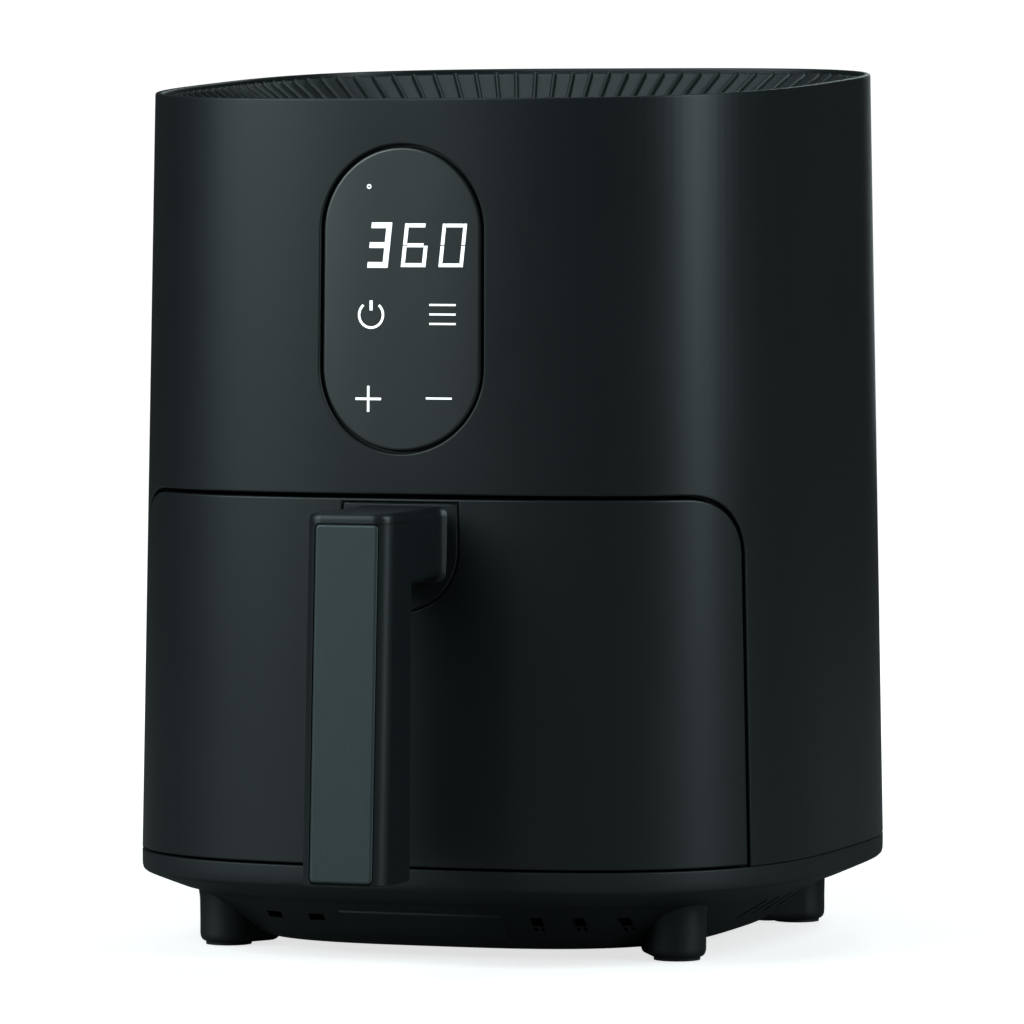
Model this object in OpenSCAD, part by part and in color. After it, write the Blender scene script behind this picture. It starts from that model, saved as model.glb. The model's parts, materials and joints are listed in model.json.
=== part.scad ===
// Compact drawer air fryer.
// Millimetres, +Z up, front towards -Y. The origin is on the floor under the middle of the
// whole object. The plan of the body is a squarish superellipse that narrows slightly upward,
// and its top rim slopes down towards the front.

/* [Body] */
// Width of the body at its top rim
body_w = 232.6; // [190:0.2:290]
// Depth of the body at its top rim, without the handle
body_d = 239; // [195:0.2:300]
// Height of the rim above the floor, at mid depth
body_h = 300; // [280:1:380]
// Squareness of the plan outline: 2 is an ellipse
squareness = 3.15; // [2.6:0.05:4.5]
// How much wider the body is at the base seam than at the rim
base_flare = 1.04; // [1:0.005:1.1]
// Slope of the top rim, higher at the back
rim_tilt = 2.97; // [0:0.01:5]
// Wall of the moulded housing
wall = 2.5; // [2:0.1:4]
// Height of the seam between housing and base
seam_z = 33.2; // [30:0.2:45]

/* [Drawer] */
// Height of the drawer front's upper edge
drawer_top_z = 158.6; // [150:0.2:175]
// Depth of the wrap-around drawer front, from the front face
drawer_front_d = 39.5; // [34:0.5:46]
// Radius of its upper rear corners, seen from the side
drawer_corner_r = 19; // [12:0.5:24]
// Gap around the drawer front
reveal = 1.3; // [0.8:0.1:2.5]
// Gap under the drawer front
seam_gap = 0.7; // [0.4:0.1:1.5]
// Distance the drawer travels until it is free of the body
drawer_travel = 250; // [180:1:320]

/* [Basket] */
// Steel thickness of the pan
pan_t = 1; // [0.8:0.1:1.6]
// Height of the pan
pan_h = 102; // [80:1:104]
// Plan radius of the pan's corners
pan_corner_r = 42; // [25:1:50]
// Width of the rolled lip at the pan's mouth
pan_lip = 2.3; // [1.5:0.1:4]
// Sheet thickness of the crisper plate
crisper_t = 1.2; // [0.8:0.1:2]
// Height of the crisper plate above the pan's floor
crisper_lift_h = 11; // [8:0.5:18]
// Spacing of the holes in the crisper plate
crisper_pitch = 17; // [14:0.5:24]
// Radius of the holes in the crisper plate
crisper_hole_r = 3; // [2:0.25:5]

/* [Handle] */
// Width of the grip bar
bar_w = 30; // [26:0.5:36]
// Depth of the grip bar at its top
bar_top_d = 24; // [20:0.5:30]
// Depth of the grip bar at its foot
bar_foot_d = 28.6; // [22:0.1:34]
// Height of the grip bar's top
bar_top_z = 156; // [146:0.5:158]
// Height of the grip bar's foot
bar_foot_z = 32; // [28:0.5:60]
// Finger gap between the grip bar and the drawer front
grip_gap = 28.2; // [24:0.1:40]
// Width of the satin plate let into the bar
plate_w = 22.5; // [20:0.5:28]
// Width of the round-ended plate at the handle's root
root_plate_w = 41; // [38:0.5:54]
// Height of the underside of the handle's neck
neck_z = 130; // [122:0.5:138]

/* [Control panel] */
// Width of the control panel
panel_w = 57; // [48:0.5:66]
// Height of the control panel
panel_h = 103; // [90:1:112]
// Height of the middle of the control panel
panel_z = 226; // [222:0.5:232]
// Width of the groove around the control panel
panel_groove = 0.8; // [0.5:0.1:1.5]
// Thickness of the control panel's lens
lens_t = 2; // [1.5:0.1:3]

/* [Top cover] */
// Depth of the dish below the rim
dish_depth = 17; // [10:0.5:24]
// Width of the sloping edge of the dish
dish_slope_w = 22; // [16:0.5:30]
// Number of radial ribs in the dish
rib_count = 104; // [60:4:120]
// Height of a rib
rib_h = 1.2; // [0.8:0.1:2]
// Width of a rib
rib_w = 1.1; // [0.8:0.1:1.2]

/* [Base] */
// Height of the lower edge of the band around the base
band_foot_z = 25.7; // [24:0.1:28]
// Height of the inner edge of the sloping skirt
skirt_foot_z = 20.5; // [18:0.1:22]
// Width of the sloping skirt
skirt_w = 13; // [9:0.5:16]
// Height of the flat underside
tub_foot_z = 3.5; // [3:0.1:8]
// Radius of a foot
foot_r = 10; // [8:0.5:13]
// Radius of the rubber pad in a foot
pad_r = 8; // [5:0.5:9]
// Distance that a pad stands out of its foot
pad_proud = 0.8; // [0.5:0.1:2]

/* [Heating] */
// Radius of the round heating chamber above the pan
dome_r = 84; // [70:1:90]
// Height of the heating chamber's roof
dome_top_z = 200; // [196:1:208]
// Radius of the heating element's rod
rod_r = 3.2; // [2.5:0.1:4.5]
// Radius of the hot-air fan
fan_r = 60; // [45:1:68]
// Radius of the cooling fan
cooling_fan_r = 40; // [34:1:42]
// Radius of the motor shaft
shaft_r = 3; // [2.5:0.1:4]
// Radial clearance of the shaft in its bearings
bearing_clear = 0.05; // [0.02:0.01:0.08]
// Radial gap between rotor and stator
air_gap = 0.45; // [0.4:0.05:0.8]

/* [Cord gland] */
// Radius of the hole for the cord
cord_r = 3.6; // [3:0.1:4.5]
// Height of the cord gland above the floor
gland_z = 56; // [52:1:80]

/* [Door switch] */
// Radius of the switch plunger
plunger_r = 1.4; // [1.2:0.1:1.5]
// Radial clearance of the plunger in its guide
plunger_clear = 0.05; // [0.03:0.01:0.08]
// Stroke of the plunger
plunger_stroke = 3; // [2:0.1:3.5]

/* [Hidden] */
$fn = 48;
outline_steps = 96;
eps = 0.01;
far = 400;

// Plan outline and taper of the body
function flare(z) = 1 + (base_flare - 1) * (body_h - z) / (body_h - seam_z);
function half_w(z) = body_w / 2 * flare(z);
function half_d(z) = body_d / 2 * flare(z);
function super_r(a, b, t) =
    pow(pow(abs(cos(t)) / a, squareness) + pow(abs(sin(t)) / b, squareness), -1 / squareness);
function outline(a, b) =
    [for (i = [0:outline_steps - 1])
        let (t = 360 * (i + 0.5) / outline_steps, r = super_r(a, b, t)) [r * cos(t), r * sin(t)]];
// Half width of an outline with half sizes a and b, at the distance y from its middle
function outline_x(a, b, y) = a * pow(1 - pow(abs(y) / b, squareness), 1 / squareness);
function outline_y(a, b, x) = b * pow(1 - pow(abs(x) / a, squareness), 1 / squareness);

// Drawer front and the bay behind it
part_y = -(body_d / 2 - drawer_front_d);
drawer_foot_z = seam_z + seam_gap;
skin_fit = 0.3;
back_t = 2.5;
drawer_back_y = part_y - 1.3;
bracket_t = 1.8;
frame_t = 2.5;
frame_y = part_y + reveal + 0.2;

// Pan, liner and crisper plate
pan_half_w = half_w(drawer_top_z) - 23.8;
pan_y0 = drawer_back_y + bracket_t;
pan_y1 = half_d(drawer_top_z) - 30;
pan_z = 44;
pan_top_z = pan_z + pan_h;
mouth_gap = 1.3;
mouth_half_w = pan_half_w + pan_lip + mouth_gap;
mouth_z0 = pan_z - 3;
mouth_z1 = pan_top_z + 6;
liner_t = 1;
liner_half_w = mouth_half_w + 1;
liner_y0 = frame_y + frame_t;
liner_y1 = pan_y1 + pan_lip + 6;
liner_z = pan_z - 5;
liner_top_z = drawer_top_z - 2;
runner_h = pan_z - liner_z - liner_t - 0.5;
crisper_gap = 3;
crisper_z = pan_z + pan_t + crisper_lift_h;
crisper_edge_h = 4;
bumper_gap = 0.5;

// Heating chamber, fan and motor, all on one upright axis
axis_y = (pan_y0 + pan_y1) / 2;
sheet_t = 1;
shield_gap = 5;
shield_r = dome_r + shield_gap;
shield_top_z = dome_top_z + shield_gap + sheet_t;
element_z = dome_top_z - 27;
element_radii = [34, 50, 66];
terminal_x = 12;
guard_z = liner_top_z + 5;
guard_wire_r = 1.2;
fan_top_z = dome_top_z - 5;
fan_h = 13;
fan_hub_r = 7;
mount_z = shield_top_z;
mount_t = 1.5;
mount_bolt_x = 42;
mount_bolt_r = 1.5;
boss_h = 7;
bush_r = 8;
rotor_r = 13;
stack_w = 60;
stack_h = 22;
stack_z = mount_z + mount_t + 12;
stack_top_z = stack_z + stack_h;
upper_bearing_z = stack_top_z + 3;
shaft_z0 = fan_top_z - fan_h - 7;
cooling_z = upper_bearing_z + boss_h + mount_t + 2;
cooling_h = 9;
shaft_z1 = cooling_z + cooling_h + 2;

// Control electronics
board_t = 1.6;
panel_y = -half_d(panel_z);
board_y = panel_y + wall + 10;
power_x = 76;
power_z = shield_top_z + 6;
power_w = 40;
power_d = 86;

// Exhaust, gland and screws
duct_w = 56;
duct_h = 18;
duct_z = dome_top_z - 24;
grille_w = 76;
grille_h = 30;
gland_x = 45;
gland_wall_y = outline_y(half_w(gland_z), half_d(gland_z), gland_x);
gland_face_y = half_d(seam_z) + 1;
gland_len = gland_face_y - gland_wall_y + 14;
gland_flange_r = cord_r + 6;
gland_seat_y = outline_y(half_w(gland_z - gland_flange_r), half_d(gland_z - gland_flange_r),
    gland_x - gland_flange_r);
post_r = 5;
front_post = [half_w(seam_z) - wall - post_r + 0.8, -45];
rear_post_k = super_r(half_w(seam_z) - wall, half_d(seam_z) - wall, 45) - post_r + 0.8;
rear_post = [rear_post_k * cos(45), rear_post_k * sin(45)];
posts = [front_post, [-front_post[0], front_post[1]], rear_post, [-rear_post[0], rear_post[1]]];
foot_x = body_w / 2 - 34.3;
foot_y = body_d / 2 - 49;
feet = [[1, 1], [-1, 1], [-1, -1], [1, -1]];
foot_tail = 12;

// Handle
bar_back_top = -(half_d(bar_top_z) + grip_gap);
bar_back_foot = -(half_d(bar_foot_z) + grip_gap);
bar_front_top = bar_back_top - bar_top_d;
bar_front_foot = bar_back_foot - bar_foot_d;
bar_edge_r = 6;
bar_lip = 3.6;
plate_t = 2;
root_plate_t = 1.2;
root_plate_top = drawer_top_z - 1.6;
core_w = 18;
core_z = neck_z + 9;
core_h = 9;
handle_screw_x = 5;

// The switch sits beside the bay's mouth
switch_x = liner_half_w + liner_t + 3.6;
switch_z = 108;
plunger_x = switch_x - 0.6;

// Places the middle of the body so that the whole object is centred on the origin
plan_y = (-bar_front_foot - gland_face_y) / 2;

// ---- Shared shapes ----

// Moves children from the body's own centre to their place
module placed() {
    translate([0, plan_y, 0]) children();
}

// Children on the upright axis of the fan and motor, at height z
module on_axis(z = 0) {
    placed() translate([0, axis_y, z]) children();
}

// The body's tapered volume between two heights, drawn in from its surface
module body_solid(z0, z1, inset = 0) {
    a0 = half_w(z0) - inset;
    b0 = half_d(z0) - inset;
    a1 = half_w(z1) - inset;
    b1 = half_d(z1) - inset;
    translate([0, 0, z0])
        linear_extrude(height = z1 - z0, scale = [a1 / a0, b1 / b0], slices = 1)
            polygon(outline(a0, b0));
}

// A tapered volume between two insets of the base outline
module base_slice(z0, in0_x, in0_y, z1, in1_x, in1_y) {
    a0 = half_w(seam_z) - in0_x;
    b0 = half_d(seam_z) - in0_y;
    a1 = half_w(seam_z) - in1_x;
    b1 = half_d(seam_z) - in1_y;
    translate([0, 0, z0])
        linear_extrude(height = z1 - z0, scale = [a1 / a0, b1 / b0], slices = 1)
            polygon(outline(a0, b0));
}

// Everything above the sloping rim plane, raised by w
module above_rim(w) {
    translate([0, 0, body_h])
        rotate([rim_tilt, 0, 0])
            translate([-far / 2, -far / 2, w])
                cube([far, far, far / 4]);
}

// Side profile of the drawer front, smaller by inset, extruded across the width
module drawer_profile(inset, z0) {
    r = drawer_corner_r - inset;
    cy = part_y - drawer_corner_r;
    cz = drawer_top_z - drawer_corner_r;
    translate([-far / 2, 0, 0])
        rotate([90, 0, 90])
            linear_extrude(far)
                union() {
                    translate([-far, z0])
                        square([far + cy, drawer_top_z - inset - z0]);
                    translate([-far, z0])
                        square([far + part_y - inset, cz - z0]);
                    translate([cy, cz])
                        circle(r);
                }
}

// Rounded rectangle between two corners
module round_rect(x0, y0, x1, y1, r) {
    union() {
        translate([x0 + r, y0])
            square([x1 - x0 - 2 * r, y1 - y0]);
        translate([x0, y0 + r])
            square([x1 - x0, y1 - y0 - 2 * r]);
        for (x = [x0 + r, x1 - r], y = [y0 + r, y1 - r])
            translate([x, y])
                circle(r);
    }
}

// Upright shape with round ends, extruded along Y from y0 to y1
module pill_along_y(w, h, y0, y1) {
    translate([0, y1, 0])
        rotate([90, 0, 0])
            linear_extrude(y1 - y0)
                union() {
                    translate([-w / 2, -(h - w) / 2])
                        square([w, h - w]);
                    for (s = [-1, 1])
                        translate([0, s * (h - w) / 2])
                            circle(w / 2);
                }
}

// Round-ended plate at the handle's root, extruded along Y through the drawer's face
module root_prism(w, top) {
    cz = root_plate_top - 16;
    translate([0, -half_d(seam_z) + wall + 2, 0])
        rotate([90, 0, 0])
            linear_extrude(far / 8)
                union() {
                    translate([-w / 2, cz])
                        square([w, top - cz]);
                    translate([0, cz])
                        circle(w / 2);
                }
}

module tube(r_out, r_in, h) {
    difference() {
        cylinder(r = r_out, h = h);
        translate([0, 0, -eps])
            cylinder(r = r_in, h = h + 2 * eps);
    }
}

module box(x0, y0, z0, x1, y1, z1) {
    translate([x0, y0, z0])
        cube([x1 - x0, y1 - y0, z1 - z0]);
}

module ring_rod(radius, r) {
    rotate_extrude()
        translate([radius, 0])
            circle(r);
}

// A bent round wire through a list of points
module wire(points, r) {
    for (i = [0:len(points) - 2]) {
        d = points[i + 1] - points[i];
        l = norm(d);
        translate(points[i])
            rotate([0, acos(d[2] / l), atan2(d[1], d[0])])
                cylinder(r = r, h = l, $fn = 24);
    }
    for (i = [1:len(points) - 2])
        translate(points[i])
            sphere(r * 1.1, $fn = 24);
}

// A flat ribbon of straight stretches through a list of points
module ribbon(points, w, t) {
    for (i = [0:len(points) - 2]) {
        d = points[i + 1] - points[i];
        l = norm(d);
        translate(points[i])
            rotate([0, acos(d[2] / l), atan2(d[1], d[0])])
                translate([-t / 2, -w / 2, -t / 2])
                    cube([t, w, l + t]);
    }
}

// Pan-head screw pointing along +Z, its head below z = 0
module screw(r, l, head_r, head_h) {
    cylinder(r = r, h = l);
    translate([0, 0, -head_h])
        cylinder(r = head_r, h = head_h);
}

// ---- Body ----

module housing_shell() {
    lug_h = 26;
    color([0.05, 0.06, 0.065])
    placed()
    difference() {
        union() {
            difference() {
                body_solid(seam_z, body_h + 12);
                body_solid(seam_z - eps, body_h + 12 + eps, wall);
            }
            for (p = posts)
                translate([p[0], p[1], seam_z])
                    cylinder(r = post_r, h = lug_h);
        }
        above_rim(0);
        drawer_profile(-reveal, 0);
        translate([0, 0, panel_z])
            pill_along_y(panel_w + 2 * panel_groove, panel_h + 2 * panel_groove, -far / 2, panel_y + 20);
        translate([0, 0, duct_z + duct_h / 2])
            rotate([0, 90, 0])
                pill_along_y(grille_h, grille_w, half_d(dome_top_z) - 20, far / 2);
        translate([gland_x, 0, gland_z])
            rotate([-90, 0, 0])
                cylinder(r = cord_r + 3.1, h = far / 2);
        for (p = posts)
            translate([p[0], p[1], seam_z - eps])
                cylinder(r = 1.5, h = lug_h - 3);
    }
}

// The dish's open volume, raised by w, in the rim's own sloping frame
module dish_void(w, in0 = 0) {
    top_in = wall + 2.2 + in0;
    foot_in = top_in + dish_slope_w;
    a0 = body_w / 2 - foot_in;
    b0 = body_d / 2 - foot_in;
    a1 = body_w / 2 - top_in;
    b1 = body_d / 2 - top_in;
    translate([0, 0, w - dish_depth])
        linear_extrude(height = dish_depth - 1.6, scale = [a1 / a0, b1 / b0], slices = 1)
            polygon(outline(a0, b0));
}

module top_cover() {
    land_out = wall + 0.5;
    land_in = wall + 2.2;
    hub_r = 28;
    color([0.05, 0.06, 0.065])
    placed()
    translate([0, 0, body_h])
    rotate([rim_tilt, 0, 0])
    union() {
        difference() {
            translate([0, 0, -12])
                linear_extrude(10.4)
                    polygon(outline(body_w / 2 - land_out, body_d / 2 - land_out));
            translate([0, 0, -12 - eps])
                linear_extrude(10.4 + 2 * eps)
                    polygon(outline(body_w / 2 - land_in, body_d / 2 - land_in));
        }
        difference() {
            dish_void(-2);
            dish_void(eps / 2);
            for (i = [0:rib_count / 4 - 1])
                rotate([0, 0, 360 * (i + 0.5) / (rib_count / 4)])
                    translate([hub_r + 6, -1.5, -dish_depth - 3])
                        cube([42, 3, 4]);
        }
        intersection() {
            difference() {
                dish_void(0);
                dish_void(rib_h);
            }
            translate([0, 0, -dish_depth])
                linear_extrude(dish_depth)
                    for (i = [0:rib_count - 1])
                        rotate([0, 0, 360 * (i + 0.5) / rib_count])
                            translate([hub_r, -rib_w / 2])
                                square([body_d, rib_w]);
        }
        translate([0, 0, -dish_depth - eps])
            cylinder(r = hub_r + 1, h = 1.5);
    }
}

module base_pan() {
    tub_in_x = 40;
    tub_in_y = 34;
    color([0.045, 0.055, 0.06])
    placed()
    difference() {
        union() {
            difference() {
                union() {
                    base_slice(band_foot_z, 0.4, 0.4, seam_z, 0, 0);
                    base_slice(skirt_foot_z, skirt_w, skirt_w, band_foot_z, 0.4, 0.4);
                    base_slice(tub_foot_z, tub_in_x, tub_in_y, skirt_foot_z, skirt_w + 4, skirt_w + 4);
                }
                base_slice(band_foot_z + wall, wall + 0.6, wall + 0.6, seam_z + 1, wall, wall);
                base_slice(skirt_foot_z + wall, skirt_w + wall, skirt_w + wall,
                    band_foot_z + wall, wall + 0.6, wall + 0.6);
                base_slice(tub_foot_z + wall, tub_in_x + wall, tub_in_y + wall,
                    skirt_foot_z + wall, skirt_w + 4 + wall, skirt_w + 4 + wall);
            }
            // Deck under the drawer front
            intersection() {
                base_slice(seam_z - wall, wall / 2, wall / 2, seam_z, wall / 2, wall / 2);
                box(-far / 2, -far / 2, 0, far / 2, frame_y + frame_t, far / 4);
            }
            // Feet
            for (s = feet)
                translate([s[0] * foot_x, s[1] * foot_y, pad_proud])
                    hull() {
                        cylinder(r = foot_r - 1.5, h = 1, $fn = 32);
                        translate([0, 0, 1.5])
                            cylinder(r = foot_r, h = skirt_foot_z - 1, $fn = 32);
                        translate([-s[0] * foot_tail * 0.7, -s[1] * foot_tail * 0.7, 1])
                            cylinder(r = foot_r - 3, h = skirt_foot_z - 1, $fn = 32);
                    }
            // Screw posts
            for (p = posts)
                translate([p[0], p[1], band_foot_z])
                    cylinder(r = post_r, h = seam_z - band_foot_z);
        }
        // Pad sockets
        for (s = feet)
            translate([s[0] * foot_x, s[1] * foot_y, 0])
                cylinder(r = pad_r + 0.1, h = 3.4);
        for (p = posts) {
            translate([p[0], p[1], 0])
                cylinder(r = 2, h = seam_z + 1);
            translate([p[0], p[1], 0])
                cylinder(r = 4.2, h = seam_z - 3);
        }
        // Front drip and vent holes
        for (x = [44, 57.5, 72])
            box(x - 3, -half_d(seam_z), 11.5, x + 3, -half_d(seam_z) + 50, 16);
        for (x = [-52, -36])
            box(x - 4, -half_d(seam_z), 13, x + 4, -half_d(seam_z) + 50, 16);
        // Slanted louvres on both sides
        for (s = [-1, 1], i = [0:3])
            translate([s * (half_w(seam_z) - 34), -24 + i * 15, 13.5])
                rotate([38, 0, 0])
                    cube([44, 10, 2.4], center = true);
        // Underside vents
        for (i = [-4:4])
            box(i * 9 - 2, -30, 0, i * 9 + 2, 30, tub_foot_z + wall + 1);
    }
}

module foot_pads() {
    color([0.03, 0.03, 0.03])
    placed()
    for (s = feet)
        translate([s[0] * foot_x, s[1] * foot_y, 0])
            cylinder(r = pad_r, h = 3.4);
}

module front_frame() {
    color([0.04, 0.045, 0.05])
    placed()
    difference() {
        intersection() {
            body_solid(seam_z, drawer_top_z + 12, wall + skin_fit);
            difference() {
                drawer_profile(-(frame_y - part_y + frame_t), seam_z);
                drawer_profile(-(frame_y - part_y), seam_z - 1);
            }
        }
        translate([0, far / 2, 0])
            rotate([90, 0, 0])
                linear_extrude(far)
                    round_rect(-mouth_half_w, mouth_z0, mouth_half_w, mouth_z1, 3);
        translate([plunger_x, 0, switch_z])
            rotate([90, 0, 0])
                cylinder(r = plunger_r + plunger_clear, h = far / 2);
    }
}

// ---- Cooking bay ----

// Upright rounded box, from the middle of the body
module bay_box(half, y0, y1, r, z0, h) {
    translate([0, 0, z0])
        linear_extrude(h)
            round_rect(-half, y0, half, y1, r);
}

module cavity_liner() {
    r = pan_corner_r + 4;
    color([0.55, 0.56, 0.57])
    placed()
    union() {
        difference() {
            bay_box(liner_half_w + liner_t, liner_y0 - 2 * r, liner_y1 + liner_t, r + liner_t,
                liner_z, liner_top_z - liner_z);
            bay_box(liner_half_w, liner_y0 - 2 * r, liner_y1, r,
                liner_z + liner_t, liner_top_z - liner_z);
            box(-far / 2, -far, 0, far / 2, liner_y0, far);
        }
        // Runners that carry the pan
        for (s = [-1, 1])
            box(s * pan_half_w * 0.6 - 4, liner_y0, liner_z + liner_t - eps,
                s * pan_half_w * 0.6 + 4, pan_y1 - 30, liner_z + liner_t + runner_h);
    }
}

module cavity_roof() {
    r = pan_corner_r + 4;
    roof_y0 = axis_y - dome_r - 2;
    color([0.55, 0.56, 0.57])
    placed()
    difference() {
        bay_box(liner_half_w + liner_t, roof_y0, liner_y1 + liner_t, r, liner_top_z, sheet_t);
        translate([0, axis_y, liner_top_z - 1])
            cylinder(r = dome_r - sheet_t, h = 4);
    }
}

module heating_dome() {
    h = dome_top_z - liner_top_z - sheet_t;
    color([0.6, 0.61, 0.62])
    on_axis(liner_top_z + sheet_t)
    difference() {
        cylinder(r = dome_r, h = h);
        translate([0, 0, -eps])
            cylinder(r = dome_r - sheet_t, h = h - sheet_t);
        cylinder(r = shaft_r + 3, h = h + 1);
        for (s = [-1, 1])
            translate([s * terminal_x, element_radii[2], 0])
                cylinder(r = rod_r + 0.5, h = h + 1);
        translate([-duct_w / 2 + 2, 0, duct_z + 2 - liner_top_z - sheet_t])
            cube([duct_w - 4, dome_r + 5, duct_h - 4]);
        translate([0, 0, 12])
            rotate([0, 90, 0])
                cylinder(r = 2.2, h = dome_r + 5);
    }
}

module heat_shield() {
    z0 = liner_top_z + sheet_t;
    h = shield_top_z - z0;
    color([0.5, 0.51, 0.52])
    on_axis(z0)
    difference() {
        cylinder(r = shield_r, h = h);
        translate([0, 0, -eps])
            cylinder(r = shield_r - sheet_t, h = h - sheet_t);
        cylinder(r = shaft_r + 6, h = h + 1);
        for (s = [-1, 1])
            translate([s * terminal_x, element_radii[2], 0])
                cylinder(r = rod_r + 2.5, h = h + 1);
        for (s = [-1, 1])
            translate([s * mount_bolt_x, 0, 0])
                cylinder(r = mount_bolt_r + 0.1, h = h + 1);
        translate([-duct_w / 2 - 0.5, 0, duct_z - 0.5 - z0])
            cube([duct_w + 1, shield_r + 5, duct_h + 1]);
        translate([0, 0, 12])
            rotate([0, 90, 0])
                cylinder(r = 3, h = shield_r + 5);
    }
}

module heating_element() {
    color([0.3, 0.3, 0.31])
    on_axis(element_z)
    union() {
        for (r = element_radii)
            ring_rod(r, rod_r);
        // Links between the turns, and the two legs up through the roof
        for (i = [0, 1])
            translate([0, -element_radii[i], 0])
                rotate([90, 0, 0])
                    cylinder(r = rod_r, h = element_radii[i + 1] - element_radii[i]);
        for (s = [-1, 1])
            translate([s * terminal_x, element_radii[2] - 1, 0])
                cylinder(r = rod_r, h = shield_top_z + 8 - element_z);
    }
}

module element_straps() {
    foot_z = element_z - rod_r - sheet_t;
    color([0.7, 0.71, 0.72])
    for (a = [30, 150, 270])
        on_axis(foot_z)
            rotate([0, 0, a])
                union() {
                    box(element_radii[0] - 5, -4, 0, element_radii[2] + 9, 4, sheet_t);
                    box(element_radii[2] + 8, -4, 0, element_radii[2] + 9, 4,
                        dome_top_z - sheet_t - foot_z);
                }
}

module element_guard() {
    color([0.72, 0.73, 0.74])
    on_axis(guard_z)
    union() {
        for (r = [22, 42, 62, dome_r - sheet_t - guard_wire_r])
            ring_rod(r, guard_wire_r);
        for (a = [0:60:300])
            rotate([0, 0, a])
                translate([20, 0, guard_wire_r])
                    rotate([0, 90, 0])
                        cylinder(r = guard_wire_r * 0.9, h = dome_r - sheet_t - guard_wire_r - 20);
    }
}

// ---- Fan motor ----

module motor_stator() {
    color([0.42, 0.43, 0.45])
    on_axis(stack_z)
    difference() {
        translate([-stack_w / 2, -24, 0])
            cube([stack_w, 64, stack_h]);
        translate([0, 0, -eps])
            cylinder(r = rotor_r + air_gap, h = stack_h + 1);
        translate([-18, 18, -eps])
            cube([36, 11, stack_h + 1]);
    }
}

module motor_coil() {
    color([0.55, 0.3, 0.12])
    on_axis(stack_z)
    difference() {
        box(-17, 19, -9, 17, 50, stack_h + 9);
        box(-18, 29, 0, 18, 40, stack_h);
    }
}

// End bracket with its bearing boss; flip mirrors it for the upper end
module end_bracket(z, leg, flip) {
    on_axis(z)
    mirror([0, 0, flip])
    difference() {
        union() {
            box(-33, -11, 0, 33, 11, mount_t);
            cylinder(r = bush_r + 2, h = mount_t + boss_h);
            for (s = [-1, 1])
                box(s * 31.5 - 1.5, -11, 0, s * 31.5 + 1.5, 11, leg);
        }
        translate([0, 0, mount_t])
            cylinder(r = bush_r, h = boss_h + 1);
        translate([0, 0, -eps])
            cylinder(r = shaft_r + 1, h = mount_t + 1);
    }
}

module motor_brackets() {
    color([0.75, 0.76, 0.77])
    union() {
        end_bracket(mount_z + mount_t, 12, 0);
        end_bracket(upper_bearing_z + boss_h + mount_t, upper_bearing_z + boss_h + mount_t - stack_top_z, 1);
    }
}

module motor_bearings() {
    color([0.7, 0.55, 0.25])
    union() {
        on_axis(mount_z + 2 * mount_t)
            tube(bush_r, shaft_r + bearing_clear, boss_h);
        on_axis(upper_bearing_z)
            tube(bush_r, shaft_r + bearing_clear, boss_h);
    }
}

module motor_mount() {
    color([0.7, 0.71, 0.72])
    on_axis(mount_z)
    difference() {
        box(-48, -16, 0, 48, 16, mount_t);
        translate([0, 0, -eps])
            cylinder(r = shaft_r + 6, h = mount_t + 1);
        for (s = [-1, 1])
            translate([s * mount_bolt_x, 0, -eps])
                cylinder(r = mount_bolt_r + 0.1, h = mount_t + 1);
    }
}

module motor_bolts() {
    color([0.78, 0.79, 0.8])
    for (s = [-1, 1])
        on_axis(mount_z + mount_t)
            translate([s * mount_bolt_x, 0, 0])
                mirror([0, 0, 1])
                    screw(mount_bolt_r, mount_t + 4, 3.2, 2.2);
}

module air_guide() {
    z0 = stack_top_z + 10;
    guide_r = cooling_fan_r + 8;
    color([0.12, 0.12, 0.13])
    on_axis(0)
    union() {
        translate([0, 0, z0])
            tube(guide_r, guide_r - 2, shaft_z1 + 2 - z0);
        for (a = [28, 152, 236, 304])
            rotate([0, 0, a])
                translate([guide_r - 2, -5, shield_top_z])
                    cube([3, 10, z0 + 4 - shield_top_z]);
    }
}

module exhaust_duct() {
    y0 = axis_y + dome_r - 3;
    y1 = half_d(dome_top_z) - wall - 4;
    color([0.5, 0.51, 0.52])
    placed()
    difference() {
        box(-duct_w / 2, y0, duct_z, duct_w / 2, y1, duct_z + duct_h);
        box(-duct_w / 2 + sheet_t, y0 - 1, duct_z + sheet_t, duct_w / 2 - sheet_t, y1 + 1,
            duct_z + duct_h - sheet_t);
        translate([0, axis_y, duct_z - 1])
            cylinder(r = dome_r, h = duct_h + 2);
    }
}

module rear_grille() {
    z = duct_z + duct_h / 2;
    color([0.06, 0.065, 0.07])
    placed()
    difference() {
        intersection() {
            difference() {
                body_solid(z - 40, z + 40, 0.3);
                body_solid(z - 41, z + 41, wall + 0.5);
            }
            translate([0, 0, z])
                rotate([0, 90, 0])
                    pill_along_y(grille_h - 0.4, grille_w - 0.4, 0, far / 2);
        }
        for (i = [-3:3])
            box(i * 9 - 2, 0, z - 9, i * 9 + 2, far / 2, z + 9);
    }
}

module thermal_cutout() {
    color([0.85, 0.84, 0.8])
    on_axis(shield_top_z)
    translate([56, -30, 0])
    union() {
        cylinder(r = 8, h = 6);
        box(-12, -4, 0, 12, 4, 1);
        for (s = [-1, 1])
            box(s * 5 - 2, -0.4, 5, s * 5 + 2, 0.4, 13);
    }
}

module temperature_sensor() {
    color([0.75, 0.76, 0.77])
    on_axis(liner_top_z + sheet_t + 12)
    rotate([0, 90, 0])
    union() {
        translate([0, 0, dome_r - 14])
            cylinder(r = 2, h = shield_gap + 22);
        translate([0, 0, shield_r])
            cylinder(r = 5, h = 2);
    }
}

// ---- Control panel ----

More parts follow.
